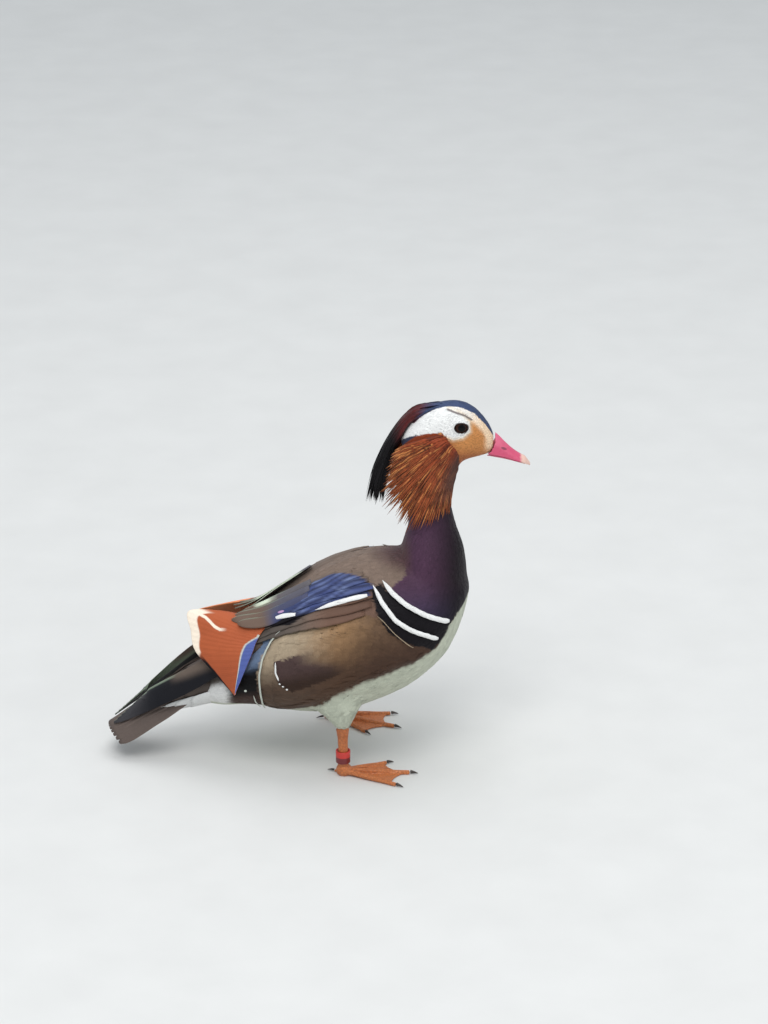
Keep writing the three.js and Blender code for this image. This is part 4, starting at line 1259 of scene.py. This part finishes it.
def sail_colour(s, t):
    """Outer face: s along the shaft, t from the shaft to the rim."""
    past_rim = t - np.interp(s, *SAIL_RIM_START)
    past_web = t - np.interp(s, *SAIL_WEB_END)
    return layered(SAIL_ORANGE, (SAIL_DEEP, smoothstep(0.55, 0.95, s) * 0.5 + 0.25 * np.sin(s * 9) ** 2),
                   (SAIL_CREAM, smoothstep(0, 0.02, past_rim) * smoothstep(0.33, 0.38, s)),
                   (BLACK, smoothstep(0.9, 0.94, t) * smoothstep(0.72, 0.78, s)),
                   (FLANK_LINE, smoothstep(0.035, 0.02, past_web) * (s > 0.4)),
                   (SAIL_BLUE, smoothstep(0.01, -0.01, past_web) * (s > 0.45)))


def make_sails(material):
    """Each sail is one grooved sheet between its shaft and its rim, with an inner and an outer face."""
    s, t = np.meshgrid(*(np.linspace(0, 1, steps) for steps in SAIL_GRID), indexing="ij")
    groove, closeness = SAIL_BARBS
    across = np.concatenate([t[0], t[0][::-1]])
    # The inner face is painted lighter than the outer, as painted light shining through the thin sail
    inner = blend(SAIL_INSIDE_LIT, SAIL_CREAM, smoothstep(0.88, 0.91, t) * smoothstep(0.33, 0.38, s))
    for side, rim in SAIL_RIMS.items():
        sheet = blend(SAIL_SHAFT(s), rim(s), t)
        sheet[..., 1] -= SAIL_BULGE * np.sin(np.pi * t) * np.sin(np.pi * s)
        sheet[..., 1] -= groove * np.sin(s * closeness)
        out = unit(np.cross(np.gradient(sheet, axis=0), np.gradient(sheet, axis=1)))
        thick = (0.4 * (1 - 0.6 * t))[..., None]
        rings = np.concatenate([sheet + out * thick, (sheet - out * thick)[:, ::-1]], 1)[None]
        u, v = photo_pixel(sheet)
        curl = smoothstep(1.7, 1.1, distance_to(SAIL_CURL, u, v)) * smoothstep(229, 220, u)
        outer = blend(sail_colour(s, t), SAIL_CREAM, curl)
        colours = np.concatenate([inner, outer[:, ::-1]], 1)[None]
        lay(f"sail_feather_{side}", rings, colours, across, s[None, :, 0] * SAIL_LENGTH, material,
            [f"sail_{side}"], True, sides=(side,))


# Primaries: long dark quills along the sides of the tail
PRIMARY_COUNT = 8
PRIMARY_HALF = 4.5


def make_primaries(material):
    """Each side's quills in a bundle, the shortest on top."""
    s = np.linspace(0, 1, 22)
    paths = []
    for rank in np.linspace(0, 1, PRIMARY_COUNT):
        root, bend = on_torso(-48.0, 48 - 8 * rank, -2)[0], on_torso(-62.0, 47 - 9 * rank, 1.6)[0]
        far = [(-98, -22 + 2 * rank, 59 + 7 * rank), (-125, -14.5 + 5 * rank, 41 + 6 * rank),
               (-151 + 19 * rank, -6 + rank, 23 + 18.5 * rank)]
        paths.append(curve([root, bend, *far])(s))
    paths = np.array(paths)
    s = np.broadcast_to(s, paths.shape[:2])
    faces = stacked(0.35, -1 + 0.5 * s, 0.6 + 0.3 * s)

    def paint(rings, across, s):
        u, v = photo_pixel(rings)
        below_upper_line = 0.62 * (v - 655) + 0.78 * (u - 180)
        below_lower_line = v - 672 + (u - 200) * 0.4
        grey = smoothstep(0, 5, below_upper_line) * smoothstep(6, -6, below_lower_line)
        edge = smoothstep(0.8, 0.92, across) * smoothstep(0.1, 0.3, s)
        return layered(QUILL_DARK, (QUILL_TIP, smoothstep(0.72, 0.95, s)), (QUILL_EDGE, edge * 0.8),
                       (QUILL_GREY, grey * smoothstep(166, 178, u) * smoothstep(690, 676, v)))

    lay_vanes("primary_feathers", paths, faces, PRIMARY_HALF * rounded(s), 0.5, paint, material,
              ["primaries"], columns=8)


# Tail: a fan of long feathers, coverts over and under its root
TAIL_FEATHERS = 14
TAIL_HALF = 5.4


def make_tail(material):
    """The outer feathers first and lowest, so that the middle ones lie on top."""
    spread = np.linspace(-1, 1, TAIL_FEATHERS)
    spread = spread[np.argsort(-abs(spread))]
    s = np.linspace(0, 1, 18)
    paths = []
    for a, drop in zip(spread, spread ** 2):
        points = [(-92, 12 * a, 52 - 3 * drop), (-122, 16 * a, 41 - 9 * drop),
                  (-155 + 8 * drop, 16 * a, 18.5 - 6 * drop)]
        paths.append(curve(points)(s))
    paths = np.array(paths)
    paths[..., 2] += (1 - abs(spread))[:, None] * 1.5
    faces = stacked(0.45, 0.45 * spread, 0.9)[:, None]
    s = np.broadcast_to(s, paths.shape[:2])

    def paint(rings, across, s):
        edge = smoothstep(0.42, 0.5, abs(across - 0.5))
        return blend(TAIL_BROWN, TAIL_BROWN * 1.5, edge * 0.6) * (0.85 + 0.2 * s[..., None])

    lay_vanes("tail_feathers", paths, faces, TAIL_HALF * rounded(s), 0.6, paint, material,
              ["tail"], sides=("middle",), columns=8)


# Coverts over and under the tail's root: place along X, half range of angles, number, length, half width
TAIL_COVERTS = {
    "upper_tail_coverts": [(-76, 80, 12, 26, 4.4), (-86, 76, 12, 26, 4.2), (-97, 72, 11, 25, 4.0),
                           (-107, 66, 9, 24, 3.8)],
    "under_tail_coverts": [(-72, 74, 12, 26, 4.2), (-82, 72, 12, 26, 4.0), (-92, 70, 11, 25, 3.8),
                           (-102, 64, 9, 22, 3.4)],
}


def tail_root_point(x, angle, lift):
    """A point over the tail's root, at an angle from its top."""
    spots, centre, rise, half = np.array(TAIL_ROOT[::-1]).T
    z = np.interp(x, spots, centre) + np.minimum(0, x + 126) * 0.75
    out = stacked(0, np.sin(angle), np.cos(angle))
    size = stacked(0, np.interp(x, spots, half) + lift, np.interp(x, spots, rise) + lift)
    return stacked(x, 0, z) + out * size, out + np.array([0.35, 0, 0])


def make_tail_coverts(material):
    """Rows round the tail's root, brown above and white below."""
    draw = np.random.default_rng(51)
    s = np.linspace(0, 1, 9)[None]
    for name, rows in TAIL_COVERTS.items():
        under = name.startswith("under")
        parts = []
        for x, reach, count, length, half in rows:
            angle = np.radians(np.linspace(-reach, reach, count) + draw.normal(0, 1.5, count))
            parts.append(stacked(angle, x, length, half))
        angle, x, length, half = np.concatenate(parts).T[:, :, None]
        x = x + draw.normal(0, 1.0, x.shape)
        if under:
            angle = angle + math.pi
        paths, faces = tail_root_point(x - length * s, angle, -1.2 + 2.4 * np.sqrt(s))
        tint = VENT_WHITE if under else blend(RUMP, TAIL_BROWN, 0.6)

        def paint(rings, across, s):
            return tint * draw.uniform(0.88, 1.08, (len(rings), 1, 1, 1)) * (0.85 + 0.15 * s[..., None])

        lay_vanes(name, paths, faces, half * rounded(s), 0.4, paint, material,
                  sides=("middle",), columns=4)


# Bill, eyes, legs and ring
def smooth_copy(nodes, name, voxel, rounds, slot, material, *extra):
    """Copies of CAD nodes made into one smooth piece that takes their place."""
    piece = joined([loose_copy(node, f"copy_{node}") for node in nodes] + list(extra), name)
    modify(piece, "REMESH", mode="VOXEL", voxel_size=voxel * MM)
    modify(piece, "SMOOTH", factor=0.5, iterations=rounds)
    only(piece)
    bpy.ops.object.shade_smooth()
    piece.data.materials.append(material)
    belongs(piece, nodes)


def millimetres(finish):
    """Body millimetres along X, Y and Z at the shaded point."""
    centred = {0: finish.coordinates(), 1: tuple(SHIFT / MM)}
    return finish.split(finish.node("VectorMath", {"operation": "SUBTRACT"}, centred))


# On the bill: place along X where its nail starts, and place and height of the nostril, painted dark as the
# shade in its opening
NAIL_START = 120.5
NOSTRIL = (109.5, 221.4)


def bill_finish():
    finish = Finish("bill_horn")
    x, _, z = millimetres(finish)
    grain = finish.noise(0.7, 3.0)
    pink = finish.mix(grain, tone(200, 64, 100), tone(212, 90, 122))
    # Lighter pink towards the top of the bill: painted light from above
    lit = finish.mix((z - 219).between(0, 10) * 0.35, pink, tone(228, 122, 148))
    base = finish.mix((x * -1).between(-102, -97) * 0.5, lit, tone(176, 52, 92))
    nail = finish.mix((x + grain * 2).between(NAIL_START, NAIL_START + 2.5), base, tone(226, 186, 170))
    # Painted shade in the nostril's opening
    hole_x, hole_z = (x - NOSTRIL[0]) * 0.4, (z - NOSTRIL[1] + (x - NOSTRIL[0]) * 0.4)
    hole = 1 - (hole_x * hole_x + hole_z * hole_z).between(0.25, 0.9)
    colour = finish.mix(hole * 0.75, nail, tone(96, 24, 50))
    finish.surface_is(base_color=colour, roughness=0.34, coat_weight=0.25, coat_roughness=0.2)
    finish.surface_is(normal=finish.bump(finish.noise(0.35, 3.0), 0.15, 0.4))
    return finish.material


def leg_finish():
    finish = Finish("leg_scales")
    _, _, z = millimetres(finish)
    grain = finish.noise(0.5, 3.0)
    orange = finish.mix(grain, tone(196, 104, 52), tone(214, 134, 78))
    cells = finish.node("TexVoronoi", {"feature": "DISTANCE_TO_EDGE"},
                        {"Vector": finish.coordinates(0.55), "Scale": 1.0})
    gap = 1 - cells.between(0.02, 0.12)
    colour = finish.mix(gap * 0.35, orange, tone(120, 62, 30))
    shank = z.between(8, 30) * 0.35
    finish.surface_is(base_color=finish.mix(shank, colour, tone(150, 78, 40)), roughness=0.5, coat_weight=0.1)
    finish.surface_is(normal=finish.bump(cells.between(0.0, 0.14), 0.35, 0.8))
    return finish.material


def claw_finish():
    finish = Finish("claw_horn")
    grain = finish.noise(1.2, 2.0, (1, 4, 4))
    finish.surface_is(base_color=finish.mix(grain, tone(40, 34, 32), tone(78, 66, 60)), roughness=0.35)
    return finish.material


def ring_finish():
    finish = Finish("ring_enamel")
    _, _, z = millimetres(finish)
    colour = finish.mix(z.between(13.6, 13.9), tone(112, 28, 32), tone(196, 48, 40))
    finish.surface_is(base_color=colour, roughness=0.32 + finish.noise(0.4) * 0.1, coat_weight=0.3)
    return finish.material


def eye_finish():
    finish = Finish("eye_ball")
    x, _, z = millimetres(finish)
    x, z = x - (RIGHT_EYE[0] + 0.4), z - (RIGHT_EYE[2] + 0.2)
    out = (x * x + z * z) ** 0.5
    iris = finish.mix(finish.noise(1.1, 2.0), tone(40, 22, 16), tone(60, 34, 24))
    colour = finish.mix(out.between(2.3, 2.7), tone(6, 5, 6), iris)
    colour = finish.mix(out.between(3.9, 4.4), colour, tone(24, 14, 12))
    finish.surface_is(base_color=colour, roughness=0.15, specular_ior_level=0.1, coat_weight=0.06,
                      coat_roughness=0.03)
    return finish.material


def lid_finish():
    finish = Finish("eye_lid")
    grain = finish.noise(1.4, 2.0)
    finish.surface_is(base_color=finish.mix(grain, tone(40, 32, 32), tone(66, 54, 52)), roughness=0.6)
    return finish.material


def keep_piece(piece, name, material, replaces=()):
    """Finishes a piece that was made in place."""
    piece.name = name
    only(piece)
    bpy.ops.object.transform_apply(location=True, rotation=True, scale=True)
    bpy.ops.object.shade_smooth()
    piece.data.materials.clear()
    piece.data.materials.append(material)
    belongs(piece, replaces)


def make_eyes():
    """Eyeballs, and rims bent round them that close the opening in the skin."""
    ball, lid = eye_finish(), lid_finish()
    for side, name in ((-1, "right"), (1, "left")):
        centre = RIGHT_EYE * (1, -side, 1)
        where = {"location": place(centre), "rotation": (math.pi / 2, 0, 0)}
        bpy.ops.mesh.primitive_uv_sphere_add(segments=48, ring_count=24, radius=EYE_RADIUS * MM, **where)
        keep_piece(bpy.context.object, f"eyeball_{name}", ball, [f"eye_{name}"])
        bpy.ops.mesh.primitive_torus_add(major_segments=64, minor_segments=10, minor_radius=LID_THICK * MM,
                                         major_radius=EYE_OPENING[0] * MM, **where)
        rim = bpy.context.object
        bpy.ops.object.transform_apply(location=True, rotation=True, scale=True)
        points = body_mm([v.co for v in rim.data.vertices]) - centre
        points[:, 2] *= EYE_OPENING[1] / EYE_OPENING[0]
        points[:, 1] += side * np.sqrt(LID_RADIUS ** 2 - points[:, 0] ** 2 - points[:, 2] ** 2)
        rim.data.vertices.foreach_set("co", place(points + centre).reshape(-1))
        keep_piece(rim, f"eyelid_{name}", lid)


SHANK_PLACES = {"right": (3.7, -38), "left": (-3.7, 48)}
STUB_RADIUS, STUB_HEIGHT, STUB_CENTRE = 3.8, 12, 36     # carries each shank up into its thigh
RING_LOW, RING_HIGH, RING_OUTER, RING_WALL = 9.5, 18, 4.9, 1.1


def make_legs():
    """Shank and foot as one piece each side, and eight claws."""
    scales, horn = leg_finish(), claw_finish()
    for side, (x, y) in SHANK_PLACES.items():
        bpy.ops.mesh.primitive_cylinder_add(vertices=24, radius=STUB_RADIUS * MM, depth=STUB_HEIGHT * MM,
                                            location=place([x, y, STUB_CENTRE]))
        smooth_copy([f"shank_{side}", f"foot_{side}"], f"leg_{side}", 0.6, 5, "leg_skin", scales,
                    bpy.context.object)
        for toe in ("inner", "middle", "outer", "hind"):
            node = f"claw_{toe}_{side}"
            claw = loose_copy(node, f"horn_{toe}_{side}")
            modify(claw, "SUBSURF", levels=2, render_levels=2)
            keep_piece(claw, f"horn_{toe}_{side}", horn, [node])


def make_ring():
    middle = place([*SHANK_PLACES["right"], (RING_LOW + RING_HIGH) / 2])
    bpy.ops.mesh.primitive_cylinder_add(vertices=64, radius=RING_OUTER * MM, end_fill_type="NOTHING",
                                        depth=(RING_HIGH - RING_LOW) * MM, location=middle)
    ring = bpy.context.object
    modify(ring, "SOLIDIFY", thickness=RING_WALL * MM, offset=-1)
    modify(ring, "BEVEL", width=0.3 * MM, segments=3, limit_method="ANGLE", angle_limit=math.radians(50))
    keep_piece(ring, "red_ring", ring_finish(), ["leg_ring"])


def make_bill():
    horn = bill_finish()
    smooth_copy(["bill_upper"], "beak_upper", 0.5, 5, "bill", horn)
    smooth_copy(["bill_lower"], "beak_lower", 0.5, 3, "bill", horn)


# Camera, floor and light
def make_camera():
    """The photo's view, far off and long, so that its scale holds all over the bird."""
    forward = np.array([0, math.cos(VIEW_ELEVATION), -math.sin(VIEW_ELEVATION)])
    up = np.array([0, math.sin(VIEW_ELEVATION), math.cos(VIEW_ELEVATION)])
    across = (IMAGE_SIZE[0] / 2 - FEET_PIXEL[0]) / PIXELS_PER_MM
    rise = (FEET_PIXEL[1] - IMAGE_SIZE[1] / 2) / PIXELS_PER_MM
    body_middle = np.array([0, 0, AIM_HEIGHT])
    depth = body_middle @ forward
    spot = np.array([across, 0, 0]) + up * rise + forward * (depth - CAMERA_DISTANCE)
    data = bpy.data.cameras.new("camera")
    data.sensor_fit = "VERTICAL"
    data.sensor_height = SENSOR
    data.lens = SENSOR * CAMERA_DISTANCE * PIXELS_PER_MM / IMAGE_SIZE[1]
    data.clip_end = 20
    camera = linked("camera", data)
    camera.location = place(spot)
    camera.rotation_euler = (math.pi / 2 - VIEW_ELEVATION, 0, 0)
    bpy.context.scene.camera = camera


def make_floor():
    bpy.ops.mesh.primitive_plane_add(size=FLOOR_SIZE, location=(0, 0, 0))
    floor = bpy.context.object
    floor.name = "floor"
    finish = Finish("pale_floor")
    grain = finish.noise(0.02, 3.0)
    finish.surface_is(base_color=finish.mix(grain, tone(214, 213, 210), tone(224, 223, 220)), roughness=0.9)
    floor.data.materials.append(finish.material)


def make_light():
    """A pale sky and three area lamps that point at the body."""
    world = bpy.data.worlds.new("studio")
    world.use_nodes = True
    background = world.node_tree.nodes["Background"]
    background.inputs["Color"].default_value = SKY
    background.inputs["Strength"].default_value = SKY_STRENGTH
    bpy.context.scene.world = world
    for name, (spot, size, power) in LAMPS.items():
        data = bpy.data.lights.new(name, "AREA")
        data.size = size
        data.energy = power
        lamp = linked(name, data)
        lamp.location = spot
        lamp.rotation_euler = (Vector(place(LAMP_AIM)) - Vector(spot)).to_track_quat("-Z", "Y").to_euler()
    bpy.context.scene.view_settings.view_transform = "Standard"


make_camera()
make_floor()
make_light()
small_feathers = feather_finish("small_feathers")
hackle_strands = feather_finish("hackle_strands", barbs=2.0, gloss=0.5, contrast=0.35)
crest_gloss = feather_finish("crest_gloss", barbs=2.0, gloss=0.38, contrast=0.3)
wing_vanes = feather_finish("wing_vanes", barbs=5.0, slant=8.0, gloss=0.48)
sail_barbs = feather_finish("sail_barbs", barbs=9.0, slant=0.0, gloss=0.55, contrast=0.15)
tail_vanes = feather_finish("tail_vanes", barbs=5.0, slant=8.0, gloss=0.55)
skin = make_skin()
skin_tree = surface_of(skin)
paint_skin(skin, small_feathers)
make_coat(skin, skin_tree, small_feathers)
make_ruff(skin_tree, hackle_strands)
make_crest(skin_tree, crest_gloss)
make_wing(wing_vanes)
make_tertials(wing_vanes)
make_plumes("pale_plumes", BODY_PLUMES, wing_vanes)
make_plumes("wing_plumes", WING_PLUMES, wing_vanes)
make_sails(sail_barbs)
make_primaries(wing_vanes)
make_tail(tail_vanes)
make_tail_coverts(tail_vanes)
make_bill()
make_eyes()
make_legs()
make_ring()
